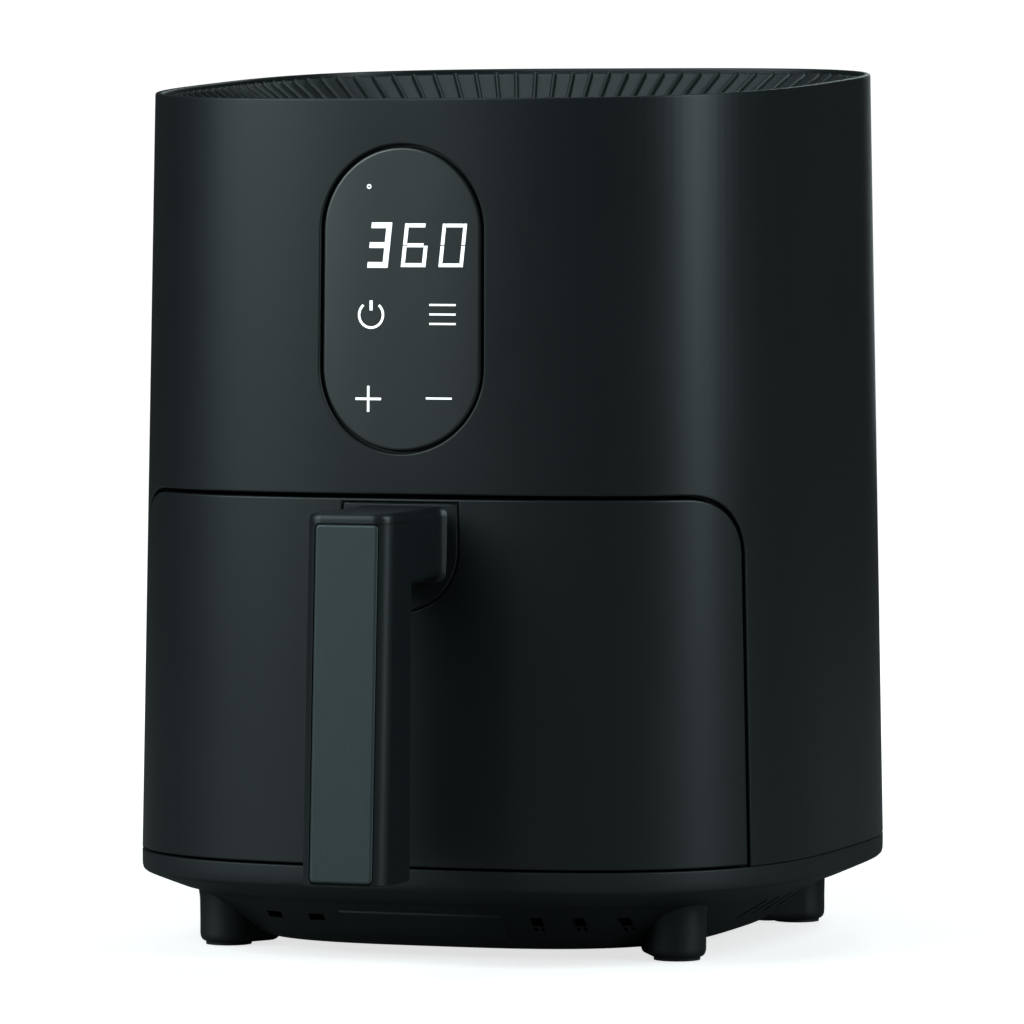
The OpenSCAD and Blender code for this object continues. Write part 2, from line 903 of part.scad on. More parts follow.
module touch_lens() {
    color([0.03, 0.035, 0.04])
    placed()
    intersection() {
        difference() {
            body_solid(panel_z - panel_h, panel_z + panel_h / 2 + 12, 0.4);
            body_solid(panel_z - panel_h - 1, panel_z + panel_h / 2 + 13, 0.4 + lens_t);
        }
        translate([0, 0, panel_z])
            pill_along_y(panel_w, panel_h, -far / 2, 0);
    }
}

module panel_carrier() {
    rim = 3;
    color([0.1, 0.1, 0.11])
    placed()
    difference() {
        intersection() {
            body_solid(panel_z - panel_h, panel_z + panel_h / 2 + 12, wall + 0.1);
            translate([0, 0, panel_z])
                pill_along_y(panel_w + 2 * rim + 2, panel_h + 2 * rim + 2, -far / 2, board_y);
        }
        translate([0, 0, panel_z])
            pill_along_y(panel_w - 2, panel_h - 2, -far / 2, 0);
    }
}

module display_board() {
    color([0.05, 0.25, 0.12])
    placed()
    translate([0, 0, panel_z])
        pill_along_y(panel_w + 4, panel_h + 4, board_y, board_y + board_t);
}

module led_display() {
    color([0.85, 0.85, 0.83])
    placed()
    box(-17, board_y - 7, panel_z + 6, 20, board_y, panel_z + 41);
}

// Touch keys: power, menu, plus and minus
keys = [[-10.9, -5.4], [14.7, -5.4], [-11.7, -33.8], [13.5, -33.8]];

module light_guide() {
    color([0.92, 0.92, 0.9])
    placed()
    difference() {
        translate([0, 0, panel_z - 20])
            box(-21, board_y - 7, -20, 21, board_y - 4, 22);
        for (k = keys)
            translate([k[0], 0, panel_z + k[1]])
                rotate([90, 0, 0])
                    cylinder(r = 4.3, h = far / 2);
    }
}

module touch_pads() {
    color([0.2, 0.2, 0.2])
    placed()
    for (k = keys)
        translate([k[0], board_y, panel_z + k[1]])
            rotate([90, 0, 0])
                cylinder(r = 4, h = 8);
}

// ---- Power electronics ----

module power_board() {
    color([0.1, 0.3, 0.12])
    placed()
    box(-power_x - power_w / 2, axis_y - power_d / 2, power_z, -power_x + power_w / 2,
        axis_y + power_d / 2, power_z + board_t);
}

module board_standoffs() {
    color([0.8, 0.8, 0.78])
    placed()
    for (x = [-power_x - 4, -power_x + 14], y = [-26, 26])
        translate([x, axis_y + y, shield_top_z])
            cylinder(r = 3, h = power_z - shield_top_z);
}

module relay() {
    color([0.05, 0.15, 0.4])
    placed()
    box(-power_x - 12, axis_y - 38, power_z + board_t, -power_x + 4, axis_y - 18, power_z + board_t + 15);
}

module transformer() {
    color([0.75, 0.65, 0.2])
    placed()
    box(-power_x - 12, axis_y - 12, power_z + board_t, -power_x + 12, axis_y + 12, power_z + board_t + 20);
}

module filter_capacitor() {
    color([0.7, 0.25, 0.1])
    placed()
    box(-power_x - 10, axis_y + 18, power_z + board_t, -power_x + 10, axis_y + 26, power_z + board_t + 14);
}

module mains_wires() {
    wire_r = 2;
    z0 = liner_top_z - 20;
    z1 = power_z + board_t + wire_r + 0.1;
    // Round the bay's rear corner and up beside it
    bend_r = pan_corner_r + 4 + liner_t + wire_r + 1.2;
    cx = -(liner_half_w - pan_corner_r - 4);
    cy = liner_y1 - pan_corner_r - 4;
    bend = [for (a = [90, 112.5, 135]) [cx + bend_r * cos(a), cy + bend_r * sin(a), z0]];
    color([0.5, 0.1, 0.08])
    placed()
    wire([[gland_x, gland_face_y - gland_len - 3, gland_z], [gland_x, bend[0][1], z0],
        bend[0], bend[1], bend[2], [bend[2][0], bend[2][1], z1],
        [-power_x, axis_y + power_d / 2 - 8, z1]], wire_r);
}

module signal_cable() {
    z1 = power_z + board_t / 2;
    y0 = board_y + board_t;
    color([0.75, 0.75, 0.73])
    placed()
    ribbon([[-20, y0 + 0.6, panel_z], [-20, y0 + 8, panel_z],
        [-power_x + 12, axis_y - power_d / 2 - 8, z1 + 8],
        [-power_x + 6, axis_y - power_d / 2 + 1, z1 + 1.5]], 8, 1.2);
}

module cord_gland() {
    body_r = cord_r + 3;
    color([0.04, 0.04, 0.045])
    placed()
    translate([gland_x, gland_face_y, gland_z])
    rotate([90, 0, 0])
    difference() {
        union() {
            cylinder(r = body_r, h = gland_len);
            cylinder(r = gland_flange_r, h = gland_face_y - gland_seat_y - 0.05);
            translate([0, 0, gland_len - 5])
                cylinder(r = body_r + 2, h = 2.5);
        }
        translate([0, 0, -1])
            cylinder(r = cord_r, h = gland_len + 2);
    }
}

module interlock_switch() {
    color([0.1, 0.1, 0.1])
    placed()
    difference() {
        box(switch_x - 3, liner_y0, switch_z - 8, switch_x + 3, liner_y0 + 16, switch_z + 8);
        translate([plunger_x, liner_y0 + 9, switch_z])
            rotate([90, 0, 0])
                cylinder(r = plunger_r + plunger_clear, h = 20);
    }
}

module interlock_plunger() {
    color([0.85, 0.2, 0.15])
    placed()
    translate([plunger_x, drawer_back_y, switch_z])
        rotate([-90, 0, 0])
            cylinder(r = plunger_r, h = liner_y0 + 8 - drawer_back_y);
}

module base_screws() {
    color([0.75, 0.76, 0.77])
    placed()
    for (p = posts)
        translate([p[0], p[1], seam_z - 3])
            screw(1.5, 22, 3.6, 2.4);
}

// ---- Drawer ----

module drawer_front() {
    color([0.05, 0.06, 0.065])
    placed()
    difference() {
        intersection() {
            body_solid(drawer_foot_z, drawer_top_z + 4);
            drawer_profile(0, seam_z);
        }
        intersection() {
            body_solid(drawer_foot_z + wall, drawer_top_z + 4, wall);
            union() {
                drawer_profile(wall, seam_z);
                box(-far / 2, part_y - wall - drawer_corner_r, 0, far / 2, part_y + 1,
                    drawer_top_z - drawer_corner_r);
            }
        }
        difference() {
            root_prism(root_plate_w + 0.8, root_plate_top + 0.4);
            body_solid(drawer_foot_z - 1, drawer_top_z + 6, root_plate_t);
        }
        for (s = [-1, 1])
            translate([s * handle_screw_x, 0, core_z + core_h / 2])
                rotate([90, 0, 0])
                    cylinder(r = 2.1, h = far / 2);
    }
}

module drawer_back() {
    fit = wall + skin_fit;
    color([0.045, 0.05, 0.055])
    placed()
    difference() {
        intersection() {
            body_solid(drawer_foot_z + fit, drawer_top_z + 4, fit);
            drawer_profile(fit, seam_z);
            box(-far / 2, drawer_back_y - back_t, 0, far / 2, drawer_back_y, far);
        }
        pan_screw_holes();
    }
}

// Screws of the pan, from the drawer's back plate into the pan's front wall
pan_screw_x = 36;
pan_screw_z = [pan_z + 30, pan_z + 74];

module pan_screw_holes() {
    for (x = [-pan_screw_x, pan_screw_x], z = pan_screw_z)
        translate([x, 0, z])
            rotate([90, 0, 0])
                cylinder(r = 2.1, h = far / 2);
}

module pan_bracket() {
    color([0.7, 0.71, 0.72])
    placed()
    difference() {
        box(-pan_screw_x - 10, drawer_back_y, pan_z + 20,
            pan_screw_x + 10, drawer_back_y + bracket_t, pan_z + 84);
        pan_screw_holes();
        box(-pan_screw_x + 12, -far, pan_z + 38, pan_screw_x - 12, 0, pan_z + 66);
    }
}

module pan_screws() {
    color([0.78, 0.79, 0.8])
    placed()
    for (x = [-pan_screw_x, pan_screw_x], z = pan_screw_z)
        translate([x, drawer_back_y - back_t, z])
            rotate([-90, 0, 0])
                screw(2, back_t + bracket_t + pan_t + 1.5, 4, 2.2);
}

module basket_pan() {
    r = pan_corner_r;
    color([0.12, 0.12, 0.13])
    placed()
    difference() {
        union() {
            bay_box(pan_half_w, pan_y0, pan_y1, r, pan_z, pan_h);
            // Rolled lip, kept clear of the drawer's back plate
            intersection() {
                bay_box(pan_half_w + pan_lip, pan_y0 - pan_lip, pan_y1 + pan_lip, r + pan_lip,
                    pan_top_z - 3, 3);
                box(-far / 2, pan_y0, 0, far / 2, far / 2, far);
            }
        }
        bay_box(pan_half_w - pan_t, pan_y0 + pan_t, pan_y1 - pan_t, r - pan_t, pan_z + pan_t, pan_h);
        for (x = [-pan_screw_x, pan_screw_x], z = pan_screw_z)
            translate([x, pan_y0 + 5, z])
                rotate([90, 0, 0])
                    cylinder(r = 2.1, h = 10);
    }
}

// ---- Handle ----

// Level slice of the grip bar, drawn in by inset, at height z
module bar_slice(z, back, front, inset) {
    translate([0, 0, z])
        linear_extrude(0.2)
            round_rect(-bar_w / 2 + inset, front + inset, bar_w / 2 - inset, back - inset,
                max(bar_edge_r - inset, 0.5), $fn = 32);
}

// Front and back of the bar at height z
function bar_share(z) = (z - bar_foot_z) / (bar_top_z - bar_foot_z);
function bar_back(z) = bar_back_foot + (bar_back_top - bar_back_foot) * bar_share(z);
function bar_front(z) = bar_front_foot + (bar_front_top - bar_front_foot) * bar_share(z);

module bar_solid(z0, z1, inset) {
    hull() {
        bar_slice(z0, bar_back(z0), bar_front(z0), inset);
        bar_slice(z1 - 0.2, bar_back(z1), bar_front(z1), inset);
    }
}

// Slab along the bar's leaning front, between two depths behind its face
module bar_front_slab(w, z0, z1, d0, d1) {
    translate([-w / 2, 0, 0])
        rotate([90, 0, 90])
            linear_extrude(w)
                polygon([[bar_front(z0) + d0, z0], [bar_front(z0) + d1, z0],
                    [bar_front(z1) + d1, z1], [bar_front(z1) + d0, z1]]);
}

plate_z0 = bar_foot_z + 1;
plate_z1 = bar_top_z - bar_lip;

module handle_body() {
    plate_gap = 0.25;
    color([0.05, 0.06, 0.065])
    placed()
    difference() {
        union() {
            bar_solid(bar_foot_z, bar_top_z, 0);
            // Neck
            translate([0, -half_d(bar_top_z) + root_plate_t + 0.2, 0])
                rotate([90, 0, 0])
                    linear_extrude(grip_gap + 4)
                        round_rect(-15.5, neck_z, 15.5, bar_top_z, 5);
            // Round-ended plate set into the drawer front
            intersection() {
                root_prism(root_plate_w, root_plate_top);
                body_solid(neck_z - 20, drawer_top_z, 0);
            }
        }
        body_solid(neck_z - 21, drawer_top_z + 1, root_plate_t);
        bar_front_slab(plate_w + 2 * plate_gap, plate_z0 - plate_gap, plate_z1 + plate_gap, -5, plate_t);
        bar_front_slab(plate_w - 4, plate_z0 + 6, plate_z1 - 4, plate_t - 1, bar_top_d - 5);
        // Channel for the core
        box(-core_w / 2 - 0.1, bar_back_top - 12, core_z - 0.1, core_w / 2 + 0.1, 0, core_z + core_h + 0.1);
    }
}

module handle_plate() {
    color([0.2, 0.24, 0.24])
    placed()
    bar_front_slab(plate_w, plate_z0, plate_z1, 0, plate_t - 0.1);
}

module handle_core() {
    root_y = -half_d(core_z) + root_plate_t + 0.1;
    color([0.6, 0.61, 0.62])
    placed()
    difference() {
        union() {
            box(-core_w / 2, bar_back_top - 11, core_z, core_w / 2, root_y, core_z + core_h);
            bar_front_slab(core_w - 2, plate_z0 + 14, core_z + core_h - 1,
                bar_top_d / 2 - 2, bar_top_d / 2 + 3);
        }
        for (s = [-1, 1])
            translate([s * handle_screw_x, root_y - 14, core_z + core_h / 2])
                rotate([-90, 0, 0])
                    cylinder(r = 2, h = 20);
    }
}

module handle_screws() {
    inner_y = -half_d(core_z + core_h) + wall + 0.4;
    color([0.78, 0.79, 0.8])
    placed()
    for (s = [-1, 1])
        translate([s * handle_screw_x, inner_y, core_z + core_h / 2])
            rotate([90, 0, 0])
                screw(2, 14, 3.8, 2.2);
}

// ---- Crisper plate ----

crisper_half_w = pan_half_w - pan_t - crisper_gap;
crisper_y0 = pan_y0 + pan_t + crisper_gap;
crisper_y1 = pan_y1 - pan_t - crisper_gap;
crisper_r = pan_corner_r - pan_t - crisper_gap;

// True where a hole keeps inside the plate's round corners
function in_plate(x, y) =
    let (margin = 9 + crisper_hole_r, cy = (crisper_y0 + crisper_y1) / 2,
        hw = crisper_half_w - margin, hd = (crisper_y1 - crisper_y0) / 2 - margin,
        dx = abs(x) - (hw - crisper_r + margin), dy = abs(y - cy) - (hd - crisper_r + margin))
    abs(x) <= hw && abs(y - cy) <= hd
        && (dx < 0 || dy < 0 || sqrt(dx * dx + dy * dy) < crisper_r - margin);

module crisper_plate() {
    cy = (crisper_y0 + crisper_y1) / 2;
    n = ceil(crisper_half_w / crisper_pitch);
    color([0.11, 0.11, 0.12])
    placed()
    difference() {
        bay_box(crisper_half_w, crisper_y0, crisper_y1, crisper_r, crisper_z, crisper_edge_h);
        bay_box(crisper_half_w - crisper_t, crisper_y0 + crisper_t, crisper_y1 - crisper_t,
            crisper_r - crisper_t, crisper_z + crisper_t, crisper_edge_h);
        for (i = [-n:n], j = [-n:n])
            if (in_plate(i * crisper_pitch, cy + j * crisper_pitch))
                translate([i * crisper_pitch, cy + j * crisper_pitch, crisper_z - 1])
                    cylinder(r = crisper_hole_r, h = 4);
    }
}

module crisper_bumpers() {
    cy = (crisper_y0 + crisper_y1) / 2;
    floor_z = pan_z + pan_t;
    reach = crisper_gap - bumper_gap;
    color([0.15, 0.15, 0.15])
    placed()
    difference() {
        union() {
            for (s = [-1, 1], y = [cy - 30, cy + 30])
                box(s > 0 ? crisper_half_w - 7 : -crisper_half_w - reach, y - 6, floor_z,
                    s > 0 ? crisper_half_w + reach : -crisper_half_w + 7, y + 6, crisper_z + crisper_edge_h + 2);
        }
        // Slot that grips the plate's edge
        bay_box(crisper_half_w, crisper_y0, crisper_y1, crisper_r, crisper_z, crisper_t);
        difference() {
            bay_box(crisper_half_w, crisper_y0, crisper_y1, crisper_r, crisper_z, crisper_edge_h);
            bay_box(crisper_half_w - crisper_t, crisper_y0 + crisper_t, crisper_y1 - crisper_t,
                crisper_r - crisper_t, crisper_z - 1, crisper_edge_h + 2);
        }
    }
}

// ---- Rotor ----

module convection_fan() {
    blades = 16;
    color([0.75, 0.76, 0.77])
    on_axis(fan_top_z - fan_h)
    difference() {
        union() {
            translate([0, 0, fan_h - sheet_t])
                cylinder(r = fan_r, h = sheet_t);
            cylinder(r = fan_hub_r, h = fan_h);
            for (i = [0:blades - 1])
                rotate([0, 0, 360 * i / blades])
                    translate([fan_r * 0.45, 0, 0])
                        rotate([0, 0, 25])
                            box(0, -0.5, 0, fan_r * 0.5, 0.5, fan_h - sheet_t + eps);
        }
        translate([0, 0, -1])
            cylinder(r = shaft_r, h = fan_h + 2);
    }
}

module fan_nut() {
    color([0.8, 0.8, 0.78])
    on_axis(fan_top_z - fan_h - 5)
    difference() {
        cylinder(r = 5.5, h = 5, $fn = 6);
        translate([0, 0, -1])
            cylinder(r = shaft_r, h = 7);
    }
}

module motor_shaft() {
    color([0.8, 0.81, 0.82])
    on_axis(shaft_z0)
    cylinder(r = shaft_r, h = shaft_z1 - shaft_z0);
}

module motor_rotor() {
    color([0.5, 0.5, 0.52])
    on_axis(stack_z)
    tube(rotor_r, shaft_r, stack_h);
}

module cooling_fan() {
    blades = 9;
    color([0.12, 0.12, 0.13])
    on_axis(cooling_z)
    difference() {
        union() {
            cylinder(r = 8, h = cooling_h);
            cylinder(r = cooling_fan_r, h = 1.2);
            for (i = [0:blades - 1])
                rotate([0, 0, 360 * i / blades])
                    translate([6, -0.6, 0])
                        cube([cooling_fan_r - 7, 1.2, cooling_h]);
        }
        translate([0, 0, -1])
            cylinder(r = shaft_r, h = cooling_h + 2);
    }
}

housing_shell();
top_cover();
base_pan();
foot_pads();
front_frame();
cavity_liner();
cavity_roof();
heating_dome();
heat_shield();
heating_element();
element_straps();
element_guard();
motor_stator();
motor_coil();
motor_brackets();
motor_bearings();
motor_mount();
motor_bolts();
air_guide();
exhaust_duct();
rear_grille();
thermal_cutout();
temperature_sensor();
touch_lens();
panel_carrier();
display_board();
led_display();
light_guide();
touch_pads();
power_board();
board_standoffs();
relay();
transformer();
filter_capacitor();
mains_wires();
signal_cable();
cord_gland();
interlock_switch();
interlock_plunger();
base_screws();
drawer_front();
drawer_back();
pan_bracket();
pan_screws();
basket_pan();
handle_body();
handle_plate();
handle_core();
handle_screws();
crisper_plate();
crisper_bumpers();
convection_fan();
fan_nut();
motor_shaft();
motor_rotor();
cooling_fan();
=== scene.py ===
"""Looks of a compact drawer air fryer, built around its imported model.

Laid out as an add-on with one operator per piece, and run as a script. Everything is in metres,
+Z up, with the front towards -Y.
"""

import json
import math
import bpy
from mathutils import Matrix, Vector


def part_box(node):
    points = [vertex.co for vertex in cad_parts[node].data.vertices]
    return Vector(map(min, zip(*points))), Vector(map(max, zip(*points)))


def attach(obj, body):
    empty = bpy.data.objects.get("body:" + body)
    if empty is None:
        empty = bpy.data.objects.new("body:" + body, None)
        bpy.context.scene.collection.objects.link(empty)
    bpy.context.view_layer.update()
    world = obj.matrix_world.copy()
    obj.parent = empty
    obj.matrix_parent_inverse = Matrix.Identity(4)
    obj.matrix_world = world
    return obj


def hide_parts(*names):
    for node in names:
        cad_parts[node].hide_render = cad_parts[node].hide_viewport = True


bl_info = {
    "name": "Drawer Air Fryer",
    "version": (1, 0, 0),
    "blender": (4, 5, 0),
    "location": "View3D > Sidebar > Air Fryer",
    "description": "Builds the visible pieces and finishes of a compact drawer air fryer",
    "category": "Add Mesh",
}

from bisect import bisect_left
from contextlib import contextmanager

import bmesh
import bpy
from bpy.props import FloatProperty, FloatVectorProperty, IntProperty, PointerProperty
from mathutils import Vector

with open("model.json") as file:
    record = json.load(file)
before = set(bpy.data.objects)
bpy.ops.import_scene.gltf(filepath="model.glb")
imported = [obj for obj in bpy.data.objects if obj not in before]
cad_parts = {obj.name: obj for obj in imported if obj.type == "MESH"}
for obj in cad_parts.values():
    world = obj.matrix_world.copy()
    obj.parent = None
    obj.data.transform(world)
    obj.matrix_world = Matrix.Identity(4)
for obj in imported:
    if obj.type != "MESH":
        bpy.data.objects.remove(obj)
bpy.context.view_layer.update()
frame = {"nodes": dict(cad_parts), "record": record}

MM = 0.001
# Vertices nearer than this are welded, and places nearer than this are the same
WELD = 2e-6
SAME = 1e-6


def middle(node, axis):
    """Middle of a node's box along an axis."""
    low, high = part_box(node)
    return (low[axis] + high[axis]) / 2


BODY_Y = middle("base_pan", 1)
PANEL_Z = middle("touch_lens", 2)
GRILLE_Z = middle("rear_grille", 2)
SEAM_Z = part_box("housing_shell")[0][2]


# ---- Sizes and colours ----


def length(name, description, default):
    """A length in metres that a user may change."""
    return FloatProperty(name=name, description=description, default=default, min=0.0, unit="LENGTH")


def colour(name, description, default):
    """A linear colour that a user may change."""
    return FloatVectorProperty(
        name=name, description=description, default=default, min=0.0, max=1.0, size=3, subtype="COLOR"
    )


class FRYER_PG_body(bpy.types.PropertyGroup):
    """Sizes of the body's shell."""

    width: length("Rim width", "Width of the body at its top rim", 232.6 * MM)
    depth: length("Rim depth", "Depth of the body at its top rim", 239.0 * MM)
    height: length("Height", "Height of the rim at mid depth", 300.0 * MM)
    squareness: FloatProperty(
        name="Squareness", description="Exponent of the plan outline", default=3.15, min=2.0, max=5.0
    )
    flare: FloatProperty(
        name="Base flare", description="Width at the seam over width at the rim",
        default=1.04, min=1.0, max=1.2,
    )
    tilt: FloatProperty(
        name="Rim slope", description="Slope of the rim, higher at the back",
        default=math.radians(2.97), subtype="ANGLE",
    )
    seam: length("Seam height", "Height of the seam between housing and base", SEAM_Z)
    wall: length("Wall", "Thickness of the moulded walls", 2.5 * MM)
    edge: length("Edge radius", "Rounding of the moulded edges", 0.7 * MM)
    steps: IntProperty(
        name="Steps", description="Strips around the plan outline", default=256, min=64, max=512
    )


class FRYER_PG_drawer(bpy.types.PropertyGroup):
    """Sizes of the drawer front and its handle."""

    top: length("Top height", "Height of the drawer front's upper edge", 158.6 * MM)
    part: length("Wrap depth", "Depth of the wrap-around front", 39.5 * MM)
    corner: length("Corner radius", "Upper rear corner radius, from the side", 19.0 * MM)
    reveal: length("Reveal", "Gap around the drawer front", 1.3 * MM)
    seam_gap: length("Seam gap", "Gap under the drawer front", 0.7 * MM)
    bar_width: length("Bar width", "Width of the grip bar", 30.0 * MM)
    bar_top_depth: length("Bar depth at the top", "Depth of the bar at its top", 24.0 * MM)
    bar_foot_depth: length("Bar depth at the foot", "Depth of the bar at its foot", 28.6 * MM)
    bar_top: length("Bar top", "Height of the bar's top", 156.0 * MM)
    bar_foot: length("Bar foot", "Height of the bar's foot", 32.0 * MM)
    grip_gap: length("Finger gap", "Gap behind the bar", 28.2 * MM)
    plate_width: length("Plate width", "Width of the satin plate", 22.4 * MM)
    root_width: length("Root plate width", "Width of the plate at the handle's root", 41.0 * MM)
    neck: length("Neck underside", "Height of the neck's underside", 130.0 * MM)


class FRYER_PG_panel(bpy.types.PropertyGroup):
    """Sizes of the control panel."""

    width: length("Width", "Width of the panel", 57.0 * MM)
    height: length("Height", "Height of the panel", 103.0 * MM)
    groove: length("Groove", "Width of the groove around the panel", 0.8 * MM)
    stroke: length("Symbol stroke", "Line width of the touch symbols", 0.85 * MM)


class FRYER_PG_colours(bpy.types.PropertyGroup):
    """Base colours of the finishes."""

    shell: colour("Shell", "Satin moulded shell", (0.0080, 0.0112, 0.0125))
    base: colour("Base", "Matte moulded base", (0.0085, 0.0118, 0.0132))
    inner: colour("Inner", "Inner mouldings", (0.012, 0.013, 0.014))
    lens: colour("Lens", "Tinted panel lens", (0.0074, 0.0104, 0.0113))
    plate: colour("Plate", "Satin handle plate", (0.060, 0.078, 0.080))
    glow: colour("Glow", "Lit symbols", (0.92, 0.97, 1.0))
    steel: colour("Steel", "Plated steel", (0.60, 0.61, 0.62))
    coating: colour("Coating", "Non-stick coating", (0.030, 0.031, 0.033))
    floor: colour("Floor", "Pale studio floor", (0.86, 0.86, 0.86))


class FRYER_PG_settings(bpy.types.PropertyGroup):
    """All settings of the air fryer."""

    body: PointerProperty(type=FRYER_PG_body)
    drawer: PointerProperty(type=FRYER_PG_drawer)
    panel: PointerProperty(type=FRYER_PG_panel)
    colours: PointerProperty(type=FRYER_PG_colours)


def settings():
    return bpy.context.scene.air_fryer


# ---- The body's surface, unrolled ----


def angle_at(turn):
    """Angle in plan after a share of a turn from the front."""
    return (turn - 0.25) * math.tau


def reach(a, b, n, t):
    """Radius at angle t of a superellipse with half axes a and b."""
    return (abs(math.cos(t) / a) ** n + abs(math.sin(t) / b) ** n) ** (-1 / n)


class Skin:
    """The body's outer surface: s runs round the plan at the rim from the middle of the front,
    towards +X first, d goes inward from the surface and z is the height."""

    TABLE = 2880

    def __init__(self, body):
        self.body = body
        self.a = body.width / 2
        self.b = body.depth / 2
        self.s = [0.0]
        last = self.plan(0)
        for i in range(1, self.TABLE + 1):
            here = self.plan(i / self.TABLE)
            self.s.append(self.s[-1] + (here - last).length)
            last = here
        self.around = self.s[-1]

    def plan(self, turn):
        """Point of the rim's plan outline, after a share of a turn from the front."""
        t = angle_at(turn)
        r = reach(self.a, self.b, self.body.squareness, t)
        return Vector((r * math.cos(t), r * math.sin(t)))

    def turn_at(self, s):
        s %= self.around
        i = min(max(bisect_left(self.s, s), 1), self.TABLE)
        share = (s - self.s[i - 1]) / (self.s[i] - self.s[i - 1])
        return (i - 1 + share) / self.TABLE

    def s_at_turn(self, turn):
        i = turn * self.TABLE
        low = min(int(i), self.TABLE - 1)
        return self.s[low] + (i - low) * (self.s[low + 1] - self.s[low])

    def grow(self, z):
        """Width of the body at height z over its width at the rim."""
        body = self.body
        return 1 + (body.flare - 1) * (body.height - z) / (body.height - body.seam)

    def point(self, s, d, z):
        p = self.plan(self.turn_at(s))
        n = self.body.squareness
        out = Vector((
            math.copysign((abs(p.x) / self.a) ** (n - 1) / self.a, p.x),
            math.copysign((abs(p.y) / self.b) ** (n - 1) / self.b, p.y),
        )).normalized()
        p = p * self.grow(z) - out * d
        return Vector((p.x, p.y + BODY_Y, z))

    def s_where_y(self, y, z):
        """How far round, on the +X side, the surface at height z reaches the body's own depth y."""
        low, high = 0.0, 0.5
        for _ in range(40):
            mid = (low + high) / 2
            if self.plan(mid).y * self.grow(z) < y:
                low = mid
            else:
                high = mid
        return self.s_at_turn(low)

    def rim_z(self, s):
        """Height of the sloping rim."""
        return self.body.height + self.plan(self.turn_at(s)).y * math.tan(self.body.tilt)

    def ring(self, turn, inset_x, inset_y, z):
        """Point of a level outline drawn in from the body's surface at the seam."""
        grow = self.body.flare
        t = angle_at(turn)
        r = reach(self.a * grow - inset_x, self.b * grow - inset_y, self.body.squareness, t)
        return Vector((r * math.cos(t), r * math.sin(t) + BODY_Y, z))

    def half_depth(self, z):
        return self.b * self.grow(z)

    def half_width_at(self, y, z, inset):
        """Half width of the level section at the body's own depth y, drawn in by inset."""
        n = self.body.squareness
        a = self.a * self.grow(z) - inset
        b = self.b * self.grow(z) - inset
        return a * max(0.0, 1 - (abs(y) / b) ** n) ** (1 / n)


# ---- Modelling helpers ----


def deselect():
    if bpy.context.object and bpy.context.object.mode != "OBJECT":
        bpy.ops.object.mode_set(mode="OBJECT")
    bpy.ops.object.select_all(action="DESELECT")


def activate(piece):
    deselect()
    piece.select_set(True)
    bpy.context.view_layer.objects.active = piece


@contextmanager
def editing(piece, mode="VERT"):
    activate(piece)
    bpy.ops.object.mode_set(mode="EDIT")
    bpy.ops.mesh.select_mode(type=mode)
    yield
    bpy.ops.object.mode_set(mode="OBJECT")


def pick(piece, kind, test):
    """In edit mode, selects the edges, faces or verts that pass the test."""
    bpy.ops.mesh.select_all(action="DESELECT")
    mesh = bmesh.from_edit_mesh(piece.data)
    mesh.normal_update()
    found = 0
    for item in getattr(mesh, kind):
        if test(item):
            item.select_set(True)
            found += 1
    bmesh.update_edit_mesh(piece.data)
    return found


def named(piece, name):
    piece.name = name
    piece.data.name = name
    return piece


def face_outward():
    """In edit mode, turns every face outward."""
    bpy.ops.mesh.select_all(action="SELECT")
    bpy.ops.mesh.normals_make_consistent(inside=False)


def weld():
    """In edit mode, joins the vertices that lie together."""
    bpy.ops.mesh.select_all(action="SELECT")
    bpy.ops.mesh.remove_doubles(threshold=WELD)


def unit_cube(name):
    deselect()
    bpy.ops.mesh.primitive_cube_add(size=1)
    return named(bpy.context.object, name)


def flat_plate(name, points, depth, front=0.0):
    """A plate standing in the unrolled X-Z plane, its front at Y = front."""
    deselect()
    bpy.ops.mesh.primitive_circle_add(vertices=len(points), radius=0.01, fill_type="NGON")
    plate = named(bpy.context.object, name)
    for vert, (s, z) in zip(plate.data.vertices, points):
        vert.co = (s, front, z)
    with editing(plate):
        bpy.ops.mesh.select_all(action="SELECT")
        bpy.ops.mesh.extrude_region_move(TRANSFORM_OT_translate={"value": (0, depth, 0)})
        face_outward()
    return plate


def wrapped_grid(name, across, along, place):
    """A grid whose vertex (i, j) goes to place(i, j), welded where it meets itself."""
    deselect()
    bpy.ops.mesh.primitive_grid_add(x_subdivisions=across, y_subdivisions=along, size=1)
    sheet = named(bpy.context.object, name)
    for k, vert in enumerate(sheet.data.vertices):
        vert.co = place(k % (across + 1), k // (across + 1))
    with editing(sheet):
        weld()
    return sheet


def close_ends(piece):
    """Fills the open rims of a lofted piece and turns its faces outward."""
    with editing(piece, "EDGE"):
        bpy.ops.mesh.select_all(action="DESELECT")
        bpy.ops.mesh.select_non_manifold()
        bpy.ops.mesh.edge_face_add()
        face_outward()


def lofted(name, count, stations, ring):
    """A closed piece through level rings: ring(i, station) gives a point."""
    piece = wrapped_grid(
        name, count, len(stations) - 1, lambda i, j: ring(i % count, stations[j])
    )
    close_ends(piece)
    return piece


def apply_modifier(piece, kind, **values):
    activate(piece)
    modifier = piece.modifiers.new(kind.lower(), kind)
    for key, value in values.items():
        setattr(modifier, key, value)
    bpy.ops.object.modifier_apply(modifier=modifier.name)


def cut(piece, *cutters):
    """Takes the cutters out of the piece."""
    for cutter in cutters:
        apply_modifier(
            piece, "BOOLEAN", object=cutter, operation="DIFFERENCE", solver="EXACT", use_self=True
        )
        mesh = cutter.data
        bpy.data.objects.remove(cutter)
        bpy.data.meshes.remove(mesh)


def joined(name, pieces):
    """One piece from several."""
    activate(pieces[0])
    for piece in pieces:
        piece.select_set(True)
    bpy.ops.object.join()
    return named(bpy.context.object, name)


